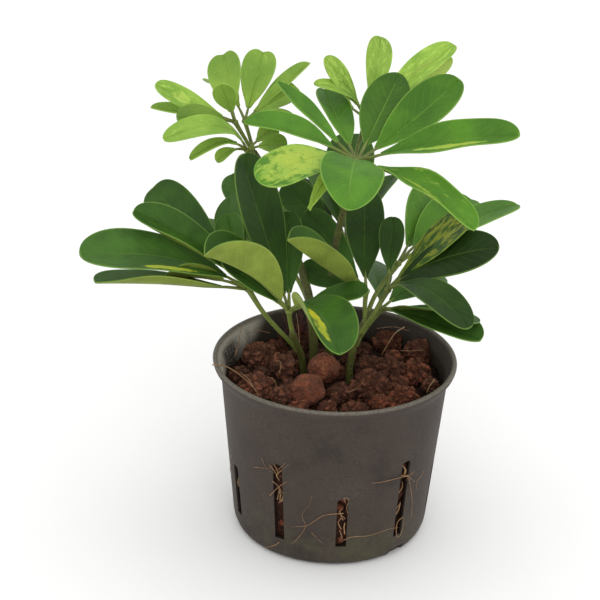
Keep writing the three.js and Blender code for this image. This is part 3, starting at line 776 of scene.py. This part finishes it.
barkLook = {
    "base": "525627", "light": "747a38", "dark": "38311c", "scales": (90.0, 900.0, 380.0), "lightShare": 0.7,
    "relief": 0.00025, "specular": 0.35,
}
petioleLook = {
    **barkLook, "base": "6c7a35", "light": "90a04c", "dark": "4e5825", "scales": (60.0, 900.0, 380.0)}
stemShape = {"steps": 44, "sides": 16, "scarEvery": 6.5, "scarHalf": 0.9, "scarSwell": 0.06, "bend": 0.12}
stems = {
    "stem_left": {
        "way": [(-13, 9, 36), (-13.5, 8, 60), (-14.5, 5, 78), (-17.5, -4, 92), (-20, -10, 101)],
        "radii": (1.9, 1.3)},
    "stem_right": {"way": [(8, 3, 34), (7, 3, 60), (7, 3, 78), (10, 1, 94), (15, 1, 106)], "radii": (2.3, 1.3)},
    "stem_shoot": {
        "way": [(-8, 14, 32), (-9, 13, 60), (-10, 10, 90), (-14, 9, 115), (-27, 8.5, 150), (-38, 8, 178)],
        "radii": (2.3, 1.6)},
    "stem_crown": {
        "way": [(0, 18, 34), (-1, 16, 60), (-3, 12, 90), (-3, 9, 118), (0, 5, 145), (5, 0, 168)],
        "radii": (2.2, 1.4)},
}


def makeBark(name, look):
    material, tree, shader, place = newMaterial(name)
    bark = addGrit(tree, place, look)
    rough = scaled(tree, bark["Grain"], 0.2, 0.42)
    connect(tree, shader, bark["Colour"], rough, bark["Height"], look["relief"], look["specular"])
    return material


def makeStems(bark):
    rng = random.Random(3)
    steps = stemShape["steps"]
    for name, stem in stems.items():
        bm = bmesh.new()
        path = smoothPath(stem["way"], steps)
        start, end = stem["radii"]
        radii = []
        for i, point in enumerate(path):
            every = stemShape["scarEvery"]
            ring = math.exp(-((point.z - every * round(point.z / every)) / stemShape["scarHalf"]) ** 2)
            rough = 0.95 + stemShape["scarSwell"] * ring + 0.03 * rng.random()
            radii.append((start + (end - start) * (i / steps)) * rough)
        radii[-1] *= 0.6
        for vert in sweepTube(bm, path, radii, stemShape["sides"]):
            vert.co += vert.normal * noise.noise(vert.co / mm * 0.35) * stemShape["bend"] * mm
        finishPiece(pieceName(name), bm, [bark], [name])


petioleMaterial = makeBark("petioleSkin", petioleLook)
makeStems(makeBark("greenBark", barkLook))
print("stems:", len(stems))

leafLooks = {
    "leaf_dark": {
        "top": {
            "face": "426a22", "shade": "34551e", "vein": "6c8f3a", "rim": "86a84a", "gold": "d6d22a",
            "veins": 0.1},
        "under": {
            "face": "84943f", "shade": "6c7c33", "vein": "9aa855", "rim": "a2b058", "gold": "c9c853",
            "veins": 0.3}},
    "leaf_mid": {
        "top": {
            "face": "548423", "shade": "436f20", "vein": "83ad44", "rim": "9cc257", "gold": "a6bc48",
            "veins": 0.18},
        "under": {
            "face": "93a34a", "shade": "7d903c", "vein": "b0bd62", "rim": "b5c264", "gold": "c6cb50",
            "veins": 0.35}},
    "leaf_young": {
        "top": {
            "face": "84a540", "shade": "6d9135", "vein": "a2c256", "rim": "a0c256", "gold": "aecb58",
            "veins": 0.24},
        "under": {
            "face": "9db556", "shade": "86a046", "vein": "bccd74", "rim": "b6c866", "gold": "c4d56c",
            "veins": 0.4}},
}
blade = {
    "columns": 12, "rows": 22, "crowding": 2.0, "thickness": 0.5, "rootWidth": 1.0, "stalkRadius": 0.75,
    "petioleRadius": 1.05, "knobRadius": 1.8, "youngShare": 0.82, "rise": 0.85, "fall": 0.45, "crease": 50,
    "foldPower": 1.3, "grooveDepth": 0.35, "grooveHalf": 0.09, "notchHalf": 2.2, "wave": 0.3,
    "petioleSteps": 16, "petioleSides": 10, "stalkSteps": 12, "stalkSides": 8, "stalkEnd": 0.12,
    "relief": 0.0002, "topSpecular": 0.18, "underSpecular": 0.12,
}
# each leaf: the petiole's way from stem to hub, the face of the whorl, stalk length, and its leaflets as
# bearing, lift, length, width, arch, roll and cup, for some the notch in the tip, the droop of the tip and how
# the outline falls toward it, then what else that leaflet has: tone, which is partly painted light and shade,
# share of streaks, patch (place across and along, half width, half length), wave of the margin, curl (side,
# start, angle) and reach past the solid's tip
leaves = {
    "leaf_left_outer": {
        "kind": "leaf_dark", "face": (200, 65), "stalk": 13,
        "way": [(-15.5, 2, 84), (-30.8, -8.8, 106.5), (-39, -16, 123)],
        "blades": [
            ((204, 20, 81, 27, 8, -22, 12),
             {"tone": 0.54, "patch": (0.1, 0.45, 0.07, 0.2), "wave": 0.5, "reach": 0.997}),
            ((208, 13, 73, 24, 1, 4, 14), {"tone": 0.5, "curl": (-1, 0.6, 80)}),
            ((188, 37.5, 62.5, 17.5, 7, -34, 34), {"tone": 0.5, "wave": 0.5, "curl": (-1, 0.78, 140)}),
            ((136, 25, 68.5, 21.5, 3, -18, 4, 0, 0, 0.35), {"tone": 0.26}),
            ((104, 32, 50, 19, 2, -20, 6), {"tone": 0.4}), ((214, 17, 46, 18, 4, 34, 20), {}),
            ((112, 40, 37, 14, 2, 0, 20), {"tone": 0.5})]},
    "leaf_left_inner": {
        "kind": "leaf_dark", "face": (270, 80), "stalk": 8,
        "way": [(-19, -7, 97), (-20.5, -12, 106), (-21, -16, 113)],
        "blades": [
            ((169, 72, 74, 28.5, 0, 6, 10), {"tone": 0.06}), ((95, 60, 44, 14, 1, 0, 14), {"tone": 0.25}),
            ((218, 40, 59, 30, 4, 14, 55), {"tone": 0.66}),
            ((292, 6, 59, 26, 11, -8, 24),
             {"tone": 0.66, "patch": (0.7, 0.72, 0.13, 0.17), "curl": (1, 0.7, 120), "reach": 0.98}),
            ((204, 41.5, 42.5, 9, 1, -30, 10), {"tone": 0.2}), ((0, 18.5, 36, 15, 1, 0, 10), {"tone": 0.3})]},
    "leaf_right_outer": {
        "kind": "leaf_dark", "face": (320, 65), "stalk": 9,
        "way": [(11, 1, 95), (16.5, -5, 108), (22, -6, 120)],
        "blades": [
            ((337, 31.5, 58, 23, 6, 22, 4, 0, 0, 0.5), {"tone": -0.22}),
            ((302, 6.5, 61, 16.5, 10, 19, 9), {"tone": 0.02}),
            ((354, 48, 54, 22, 2, -18, 4), {"tone": 0.16, "streaks": 0.65}),
            ((85.5, 44, 35, 11.5, 1, -22, 8), {"tone": 0.1})]},
    "leaf_right_inner": {
        "kind": "leaf_dark", "face": (270, 75), "stalk": 7,
        "way": [(13, 0.8, 101), (12.5, 0.3, 109), (12.7, 0, 116.4)],
        "blades": [
            ((92, 48, 49.5, 18, -3, 6, 4), {"tone": 0.04}), ((222, 38.5, 60, 24, -1, 6, 50), {"tone": 0.58}),
            ((141, 39, 45.5, 15, 0, -30, 10), {"tone": 0.3}), ((154, 8, 32.6, 12, 1, -40, 10), {"tone": 0.2})]},
    "leaf_right_low": {
        "kind": "leaf_dark", "face": (330, 60), "stalk": 7,
        "way": [(9, 1.5, 89), (14, 6, 96), (20, 8, 104)],
        "blades": [
            ((314, 13.5, 58, 18, 3, -6, 8), {"tone": 0.5}), ((312, 7, 61.5, 20, 3, 20, 18), {"tone": 0.58}),
            ((60, -2, 55, 20, 5, 0, 10), {}), ((100, 2, 54, 20, 5, 0, 10), {})]},
    "leaf_right_back": {
        "kind": "leaf_mid", "face": (30, 65), "stalk": 12,
        "way": [(12.5, 1.2, 100), (17.5, 9, 111), (27, 14, 124)],
        "blades": [
            ((70, 15, 60, 22, 2, 8, 14), {"tone": 0.44, "streaks": 0.25}),
            ((31, 14.5, 67, 20, 3, -3, 10), {"tone": 0.42, "reach": 0.991}),
            ((52, 14, 58, 22, 3, 0, 15), {"tone": 0.46})]},
    "leaf_back_mid": {
        "kind": "leaf_dark", "face": (90, 65), "stalk": 13,
        "way": [(-3, 11, 100), (0, 22, 112), (4, 31, 124)],
        "blades": [
            ((88, 42, 58, 23, 4, 0, 12), {"tone": 0.3}), ((138, 26, 58, 22, 5, 0, 12), {"tone": 0.3}),
            ((55, 31, 45, 15, 2, 0, 12), {"tone": 0.2}), ((92, -8, 54, 20, 8, 0, 12), {}),
            ((114, 30, 54, 19, 3, 0, 12), {}), ((174, 43, 41, 18, 1, -80, 12), {"tone": 0.3})]},
    "leaf_back_left": {
        "kind": "leaf_dark", "face": (130, 65), "stalk": 13,
        "way": [(-12.5, 9.5, 106), (-18, 19, 113), (-25, 27, 120)],
        "blades": [
            ((156, 5, 57, 20, 4, 0, 12), {}), ((131, 37, 47, 20, 2, -20, 12), {}),
            ((178, 0, 52, 20, 8, 0, 12), {}), ((98, 2, 54, 21, 8, 0, 12), {})]},
    "crown_leaf_front": {
        "kind": "leaf_mid", "face": (290, 78), "stalk": 12,
        "way": [(5, 0, 167), (6, -7, 175), (6, -12, 182)],
        "blades": [
            ((176, 17, 50.5, 18, 4, 0, 24, 0, 0, 0.6), {"tone": 0.62}),
            ((145.5, 32, 50, 11.5, 0, 10, 18, 0, 0, 0.7), {"tone": 0.64}),
            ((107, 18, 51, 16.5, 0, 14, 18), {"tone": 0.46}),
            ((68, 26, 55.5, 20.5, -2, 14, 4, 0, 0, 0.6), {"tone": 0.12}),
            ((42.5, 22, 65, 21.5, -3, 13, 22, 0, 0, 0.5), {"tone": 0.42}),
            ((339, 19, 74, 18.5, 3, 18, 22, 0, 1),
             {"tone": 0.54, "wave": 1.1, "streaks": 0.2, "patch": (0.8, 0.55, 0.1, 0.3)}),
            ((312.5, -7, 70, 17, 5, -6, 26),
             {"tone": 0.56, "wave": 1.3, "streaks": 0.35, "patch": (0.55, 0.4, 0.1, 0.3), "curl": (-1, 0.6, 80)}),
            ((265, 22, 56, 27, 1, -4, 8, 0, 22, 0.58), {"tone": 0.58, "wave": 1.2}),
            ((222, 3.5, 54, 24, 7, 0, 4),
             {"tone": 0.6, "streaks": 0.6, "patch": (0.5, 0.4, 0.55, 0.5), "wave": 0.7}),
            ((234, 8, 34, 7, 2, -20, 20, 0, 16, 0.8),
             {"tone": 0.6, "patch": (0.5, 0.5, 1.4, 1.4), "streaks": 0.9})]},
    "crown_leaf_top": {
        "kind": "leaf_young", "face": (40, 75), "stalk": 9,
        "way": [(4, 2, 164), (6, 17, 173), (10.5, 34, 185)],
        "blades": [
            ((79, 41, 42.5, 12.5, 3, 10, 12), {"tone": 0.58, "streaks": 0.5}),
            ((33, 30, 54, 16, 1, 14, 20), {"tone": 0.8, "streaks": 0.5}),
            ((30, 26.5, 49.3, 10, 0, -110, 10), {"tone": 0.6}),
            ((201, 56, 36.5, 10, 1, -70, 12), {"tone": 0.66, "streaks": 0.6}),
            ((135, 16, 28, 10, 0, 0, 26), {}), ((211, 36.4, 34, 8, 5, -30, 16), {"tone": 0.6, "streaks": 0.5})]},
    "young_leaf_left": {
        "kind": "leaf_young", "face": (190, 55), "stalk": 6,
        "way": [(-36.5, 8, 172.5), (-40.5, 3.5, 182.5), (-46.3, 0, 194)],
        "blades": [
            ((180, 25, 37.5, 12, -1, -14, 10), {"tone": 0.8, "streaks": 0.4, "patch": (0.5, 0.6, 0.25, 0.17)}),
            ((165, 3, 38, 8, 0, 0, 30), {}), ((102.5, 33.5, 37.3, 16, 1, 10, 14, 1), {"tone": 0.54}),
            ((201, 9.5, 26.5, 11, 3, -50, 16), {"tone": 0.3}), ((228, 65, 21, 10, 0, 120, 8), {"tone": 0.48})]},
    "young_leaf_mid": {
        "kind": "leaf_young", "face": (80, 75), "stalk": 7,
        "way": [(-38, 8, 176.5), (-40.3, 9.5, 184), (-42.4, 9, 191.2)],
        "blades": [
            ((78.5, 32, 40, 15.5, 1, 10, 18, 1), {"tone": 0.62, "streaks": 0.3}),
            ((50, 21.5, 45, 10, 0, 4, 28), {"tone": 0.54}), ((40, 19, 30, 12, 1, 40, 16), {"tone": 0.5}),
            ((130, 20, 30, 12, 4, 0, 20), {}), ((0, 0, 22, 9, 4, 0, 30), {})]},
    "young_leaf_low": {
        "kind": "leaf_young", "face": (230, 65), "stalk": 6,
        "way": [(-35, 8, 167), (-37.5, 1.5, 174.5), (-41, -2, 182)],
        "blades": [
            ((218, 17.6, 45, 12, 11, -20, 10), {"tone": 0.68, "streaks": 0.3}),
            ((211, 1, 27.4, 6.5, 7, -14, 26), {}), ((207, -12, 14.5, 6.5, 3.5, -14, 20), {}),
            ((350, 13, 18, 10, 2, 14, 10), {"tone": 0.5}), ((39, 25, 17, 9, 1, 20, 10), {})]},
}


def makeLeafSkin(name, look, specular):
    material, tree, shader, place = newMaterial(name)
    inputs = {label: paint(look[label.lower()]) for label in ("Face", "Shade", "Vein", "Rim", "Gold")}
    skin = fromGroup(tree, leafPattern, {
        "Sheet": addNode(tree, "UVMap", uv_map="sheet").outputs[0], "Place": place,
        "Look": fromMesh(tree, "leafLook"), "Patch": fromMesh(tree, "leafPatch"),
        "Vein Share": look["veins"], **inputs})
    connect(tree, shader, skin["Colour"], skin["Roughness"], skin["Height"], blade["relief"], specular)
    return material


def direction(bearing, lift):
    a, b = math.radians(bearing), math.radians(lift)
    return Vector((math.cos(a) * math.cos(b), math.sin(a) * math.cos(b), math.sin(b)))


class BladeFrame:  # the middle surface of a leaflet, as the solid model has it
    def __init__(self, hub, face, shape):
        bearing, lift, self.length, self.width, self.arch, roll, self.cup = shape[:7]
        usual = (0, 0, blade["fall"])
        self.notch, self.droop, self.fall = tuple(shape[7:]) + usual[len(shape) - 7:]
        self.hub = Vector(hub)
        self.along = direction(bearing, lift)
        axis = direction(*face)
        self.up = (axis - self.along * axis.dot(self.along)).normalized()
        self.side = self.along.cross(self.up)
        turn = Matrix.Rotation(math.radians(roll), 3, self.along)
        self.up = turn @ self.up
        self.side = turn @ self.side

    def middle(self, t):
        sag = Vector((0, 0, -self.droop * t ** 3))
        return self.hub + self.along * self.length * t + self.up * self.arch * 4 * t * (1 - t) + sag

    def heading(self, t):
        sag = Vector((0, 0, -self.droop * 3 * t ** 2))
        return (self.along * self.length + self.up * self.arch * 4 * (1 - 2 * t) + sag).normalized()

    def half(self, share):
        rise = blade["rise"]
        widest = rise / (rise + self.fall)
        peak = widest ** rise * (1 - widest) ** self.fall
        return max(blade["rootWidth"], self.width / 2 * share ** rise * (1 - share) ** self.fall / peak)

    def point(self, stalkShare, share, across, wave, phase, curl):
        t = stalkShare + (1 - stalkShare) * share
        half = self.half(share)
        heading = self.heading(t)
        rise = self.side.cross(heading)
        cup = math.radians(self.cup)
        fold = math.sin(cup) * abs(across) ** blade["foldPower"] * half
        ripple = wave * across ** 2 * math.sin(math.pi * share) * math.sin(9 * share + phase + 1.6 * across)
        groove = -blade["grooveDepth"] * math.exp(-(across / blade["grooveHalf"]) ** 2) * min(1.0, half / 4)
        back = self.notch * share ** 8 * math.exp(-(across * half / blade["notchHalf"]) ** 2)
        reach = across * half
        edge, start, angle = curl
        over = across * edge - start
        if over > 0 and angle:  # the margin rolls up from here on
            turn = math.radians(angle) * over / (1 - start) * max(0.02, math.sin(math.pi * share)) ** 1.1
            radius = half * over / turn
            reach = edge * (start * half + radius * math.sin(turn))
            fold += radius * (1 - math.cos(turn))
        aside = self.side * reach * math.cos(cup)
        return self.middle(t) + aside + rise * (fold + ripple + groove) - heading * back


def addBlade(bm, layers, bladeFrame, stalkShare, extra, young, rng):
    uvs, looks, patches = layers
    tone = extra.get("tone", 0.46 + 0.08 * rng.random())
    across, along, width, length = extra.get("patch", (0, 0, 0, 0))
    wave = extra.get("wave", blade["wave"]) * (0.5 if young else 1.0)
    phase = rng.random() * 6
    curl = extra.get("curl", (0, 0, 0))
    crowding = blade["crowding"]  # the rows stand closer toward the tip
    grid = bmesh.ops.create_grid(bm, x_segments=blade["columns"], y_segments=blade["rows"], size=0.5)["verts"]
    for face in facesOf(grid):
        for loop in face.loops:
            row = loop.vert.co.y + 0.5
            loop[uvs].uv = (loop.vert.co.x + 0.5, 1 - (1 - row) ** crowding)
            loop[looks] = (tone, extra.get("streaks", 0.0), length, 1)
            loop[patches] = (across, along, width, 1)
    for vert in grid:
        share = 1 - (0.5 - vert.co.y) ** crowding
        vert.co = bladeFrame.point(stalkShare, share, vert.co.x * 2, wave, phase, curl) * mm


def addStalks(bm, leaf, frames, size):  # petiole, hub, and under each leaflet its stalk and rib
    steps = blade["petioleSteps"]
    waists = [math.sin(math.pi * min(1, k / steps * 1.1)) ** 0.5 for k in range(steps + 1)]
    radii = [blade["petioleRadius"] * size * (1.25 - 0.35 * waist * 0.8) for waist in waists]
    radii[0] *= 1.25
    radii[1] *= 1.12
    sweepTube(bm, smoothPath(leaf["way"], steps), radii, blade["petioleSides"], 2)
    knob = bmesh.ops.create_icosphere(bm, subdivisions=2, radius=1.0)["verts"]
    radius = blade["knobRadius"] * size
    bmesh.ops.scale(bm, vec=(radius * mm, radius * mm, radius * 0.85 * mm), verts=knob)
    bmesh.ops.translate(bm, vec=Vector(leaf["way"][-1]) * mm, verts=knob)
    for face in facesOf(knob):
        face.material_index = 2
        face.smooth = True
    start = blade["stalkRadius"] * size
    for bladeFrame, stalkShare in frames:
        path = []
        radii = []
        for k in range(blade["stalkSteps"] + 1):
            t = 0.9 * k / blade["stalkSteps"]
            onBlade = max(0.0, (t - stalkShare) / (1 - stalkShare))
            radius = start * (1.15 - 0.3 * min(1.0, t / stalkShare))
            radius *= 1 - 0.88 * min(1.0, onBlade / 0.85) ** 0.7
            drop = min(1.0, onBlade / 0.12) * (radius + blade["stalkEnd"])
            path.append(bladeFrame.middle(t) - bladeFrame.up * drop)
            radii.append(max(blade["stalkEnd"], radius))
        sweepTube(bm, path, radii, blade["stalkSides"], 2)


def makeLeaf(name, leaf, skins, rng):
    young = leaf["kind"] == "leaf_young"
    bm = bmesh.new()
    layers = [bm.loops.layers.uv.new("sheet")]
    layers += [bm.loops.layers.float_color.new(label) for label in ("leafLook", "leafPatch")]
    frames = []
    for shape, extra in leaf["blades"]:
        bladeFrame = BladeFrame(leaf["way"][-1], leaf["face"], shape)
        bladeFrame.length *= extra.get("reach", 1.0)
        stalkShare = leaf["stalk"] / bladeFrame.length
        frames.append((bladeFrame, stalkShare))
        addBlade(bm, layers, bladeFrame, stalkShare, extra, young, rng)
    bm = withModifier(bm, "SOLIDIFY", {
        "thickness": blade["thickness"] * mm, "offset": 0.0, "use_even_offset": True, "material_offset": 1})
    markCreases(bm, blade["crease"])
    addStalks(bm, leaf, frames, blade["youngShare"] if young else 1.0)
    finishPiece(pieceName(name), bm, skins, [name])


def makeLeaves():
    skins = {}
    for kind, look in leafLooks.items():
        plain = kind.replace("leaf_", "")
        skins[kind] = [
            makeLeafSkin(plain + "LeafTop", look["top"], blade["topSpecular"]),
            makeLeafSkin(plain + "LeafUnderside", look["under"], blade["underSpecular"]), petioleMaterial]
    rng = random.Random(21)
    for name, leaf in leaves.items():
        makeLeaf(name, leaf, skins[leaf["kind"]], rng)


makeLeaves()
print("leaves:", len(leaves))

rootLook = {**barkLook, "base": "94714e", "light": "b8966c", "dark": "5e432c", "scales": (150.0, 900.0, 380.0)}
# on the wall: turn and height of each point, and how far it stands off
wallRoots = [
    ([(-45.3, 44.9), (-41, 46.4), (-37.3, 47.2), (-33.5, 48.6)], 0.22),
    ([(-39.3, 51.9), (-37.5, 48.5), (-34, 47.0), (-31, 46.4)], 0.16),
    ([(-34.0, 50.2), (-31.5, 48.0), (-29.4, 45.6)], 0.34), ([(-31.5, 51.4), (-29.8, 48.8), (-28.6, 46.6)], 0.3),
    ([(-30.5, 48.0), (-27.5, 50.4), (-24.8, 53.4)], 0.2), ([(-29.8, 47.4), (-26, 50.2), (-22.6, 53.6)], 0.13),
    ([(-34.8, 33.5), (-31.5, 37.2), (-28.7, 40.2), (-24.1, 44.0)], 0.3),
    ([(-32.8, 41.7), (-29.2, 40.3), (-27.6, 38.6)], 0.26),
    ([(7.2, 36.1), (6.3, 38.5), (8.9, 37.6), (8.0, 33.4), (8.7, 30.0)], 0.26),
    ([(6.6, 30.4), (-3.4, 29.2), (-8.7, 25.6), (-13.4, 22.3), (-21.6, 20.4)], 0.28),
    ([(-13.4, 22.3), (-16.2, 17.3), (-19.7, 13.0), (-22.3, 10.6)], 0.2),
    ([(-10.5, 19.1), (-6.7, 15.8), (-3.3, 12.8)], 0.14),
    ([(-13.9, 22.9), (-15.7, 27.4), (-14.0, 31.0), (-11.6, 34.0), (-10.6, 38.6)], 0.12),
    ([(7.2, 15.6), (12, 17.2), (19.8, 16.8), (25.9, 17.1), (34.7, 17.4), (41.9, 16.0)], 0.22),
    ([(43.8, 43.6), (40.8, 43.9), (30.7, 44.6), (25.0, 44.6), (20.4, 45.3)], 0.3),
    ([(38.3, 45.1), (43.5, 42.9), (50.0, 37.9)], 0.3), ([(47.6, 44.2), (45.0, 42.6), (42.5, 41.1)], 0.22),
    ([(44.6, 41.4), (48.2, 33.0), (50.6, 26.5), (51.3, 18.5)], 0.24),
    ([(57.4, 41.0), (56.6, 38.6), (52.6, 37.3), (52.5, 35.0), (53.8, 31.8)], 0.2),
    ([(43.6, 21.4), (40.2, 19.2), (40.3, 13.0), (43.4, 10.4), (45.4, 15.0), (44.6, 20.4)], 0.26),
    ([(-29.8, 9.7), (-33.4, 6.9), (-40.4, 3.4)], 0.3), ([(112, 44), (116, 39), (121, 35), (124, 28)], 0.24),
    ([(150, 34), (158, 30), (163, 24), (171, 20)], 0.26), ([(190, 30), (186, 24), (189, 17), (195, 12)], 0.2),
    ([(221, 46), (229, 43), (236, 45)], 0.22), ([(258, 33), (263, 26), (270, 22)], 0.24),
    ([(292, 42), (286, 36), (288, 29)], 0.18),
]
# over the filling and the lip, in mm
looseRoots = [
    ([(-54.6, -13.2, 84.3), (-50, -14.2, 84.6), (-46.6, -14.7, 83.6), (-41.3, -17.1, 81.0),
      (-35.7, -26.8, 80.6), (-33, -32, 79)], 0.3),
    ([(-45.1, 5.3, 80), (-43.8, 12, 83), (-43.3, 18, 85.2), (-43.0, 26, 86)], 0.24),
    ([(32.2, 29.7, 85), (27.5, 18, 87.5), (24, 12, 84.5), (21.4, 9.3, 80.5)], 0.32),
    ([(43.6, -22.5, 84.6), (41.4, -27.3, 84.2), (39.9, -30.6, 82.4)], 0.28),
    ([(-41.8, -10.9, 79.5), (-38, -20, 81), (-34.4, -29.8, 80)], 0.22),
    ([(-26.2, 2.0, 79.6), (-24.6, -2.0, 81.2), (-24.1, -6.5, 81), (-24.8, -10.2, 79.6)], 0.26),
    ([(-30, -14, 79.4), (-27, -18, 80.4), (-25.4, -24, 79.2)], 0.18),
    ([(6, -27, 79.6), (10, -24, 80.6), (13, -18, 81.8)], 0.16),
    ([(30, 14, 80.6), (35, 12, 81.6), (41, 15, 80.8)], 0.18),
    ([(-10, 28, 78), (-12, 33, 82), (-13, 41, 84)], 0.3),
    ([(-16, 26, 77), (-17, 33, 83), (-18, 42, 84.6)], 0.26),
    ([(-5, 30, 77), (-7, 37, 81.6), (-6, 44, 82.6)], 0.24), ([(20, 40, 79), (28, 36, 82), (35, 34, 81)], 0.2),
    ([(-30, 34, 78), (-36, 30, 81), (-41, 24, 82)], 0.2),
]
slotRoots = {
    "count": 5, "steps": 8, "sides": 5, "rise": 3, "reach": 2.4, "depth": (0.8, 2.6), "radius": (0.2, 0.32)}
deadLook = {**rootLook, "base": "5c302b", "light": "8a4a3c", "dark": "2c1616"}
deadFibres = {
    "count": 54, "middle": (-15.0, 33.0, 76.0), "spread": (9.0, 6.0, 1.0), "rise": (5.0, 13.0),
    "radius": (0.16, 0.34), "steps": 7, "sides": 5, "reach": 46,
}


def makeDeadFibres():  # old roots and leaf stalks between the stems and the wall
    bm = bmesh.new()
    rng = random.Random(17)
    middle = Vector(deadFibres["middle"])
    steps = deadFibres["steps"]
    for _ in range(deadFibres["count"]):
        foot = middle + Vector([rng.uniform(-1, 1) * reach for reach in deadFibres["spread"]])
        lean = Vector((rng.uniform(-5, 5), rng.uniform(-2, 6), rng.uniform(*deadFibres["rise"])))
        bend = Vector((rng.uniform(-2, 2), rng.uniform(-2, 2), 0))
        spots = [foot, foot + lean * 0.35 + bend, foot + lean]
        reach = math.hypot(spots[2].x, spots[2].y)
        if reach > deadFibres["reach"]:
            spots[2] *= deadFibres["reach"] / reach
            spots[2].z = (foot + lean).z
        radius = rng.uniform(*deadFibres["radius"])
        radii = [radius * (1 - 0.07 * k) for k in range(steps + 1)]
        sweepTube(bm, smoothPath(spots, steps), radii, deadFibres["sides"])
    finishPiece("deadFibres", bm, [makeBark("deadRoot", deadLook)])


def addRoot(bm, points, radius, thinned):  # a strand that tapers to its end
    steps = 6 * (len(points) - 1)
    sweepTube(bm, smoothPath(points, steps), [radius * (1 - thinned * k / steps) for k in range(steps + 1)], 6)


def makeRoots():
    material = makeBark("rootSkin", rootLook)
    bm = bmesh.new()
    rng = random.Random(8)
    for points, radius in wallRoots:
        lifts = [0.25 + 0.5 * rng.random() for _ in points]
        spots = [roundPot(turn, wallRadius(z) + radius + lift, z) for (turn, z), lift in zip(points, lifts)]
        addRoot(bm, spots, radius * 0.7, 0.55)
    for points, radius in looseRoots:
        addRoot(bm, points, radius, 0.5)
    # strands that run among the pellets inside each slot
    for turn, head in slotPlaces():
        for _ in range(slotRoots["count"]):
            foot = rng.uniform(pot["slotFoot"] + 3, head - 4)
            spots = []
            for height in (foot - slotRoots["rise"], foot, foot + slotRoots["rise"]):
                at = turn + rng.uniform(-slotRoots["reach"], slotRoots["reach"])
                spots.append(roundPot(at, wallRadius(height) - rng.uniform(*slotRoots["depth"]), height))
            radii = [rng.uniform(*slotRoots["radius"])] * (slotRoots["steps"] + 1)
            sweepTube(bm, smoothPath(spots, slotRoots["steps"]), radii, slotRoots["sides"])
    finishPiece("rootStrands", bm, [material])


makeRoots()
makeDeadFibres()
print("roots, straws and dead fibres")
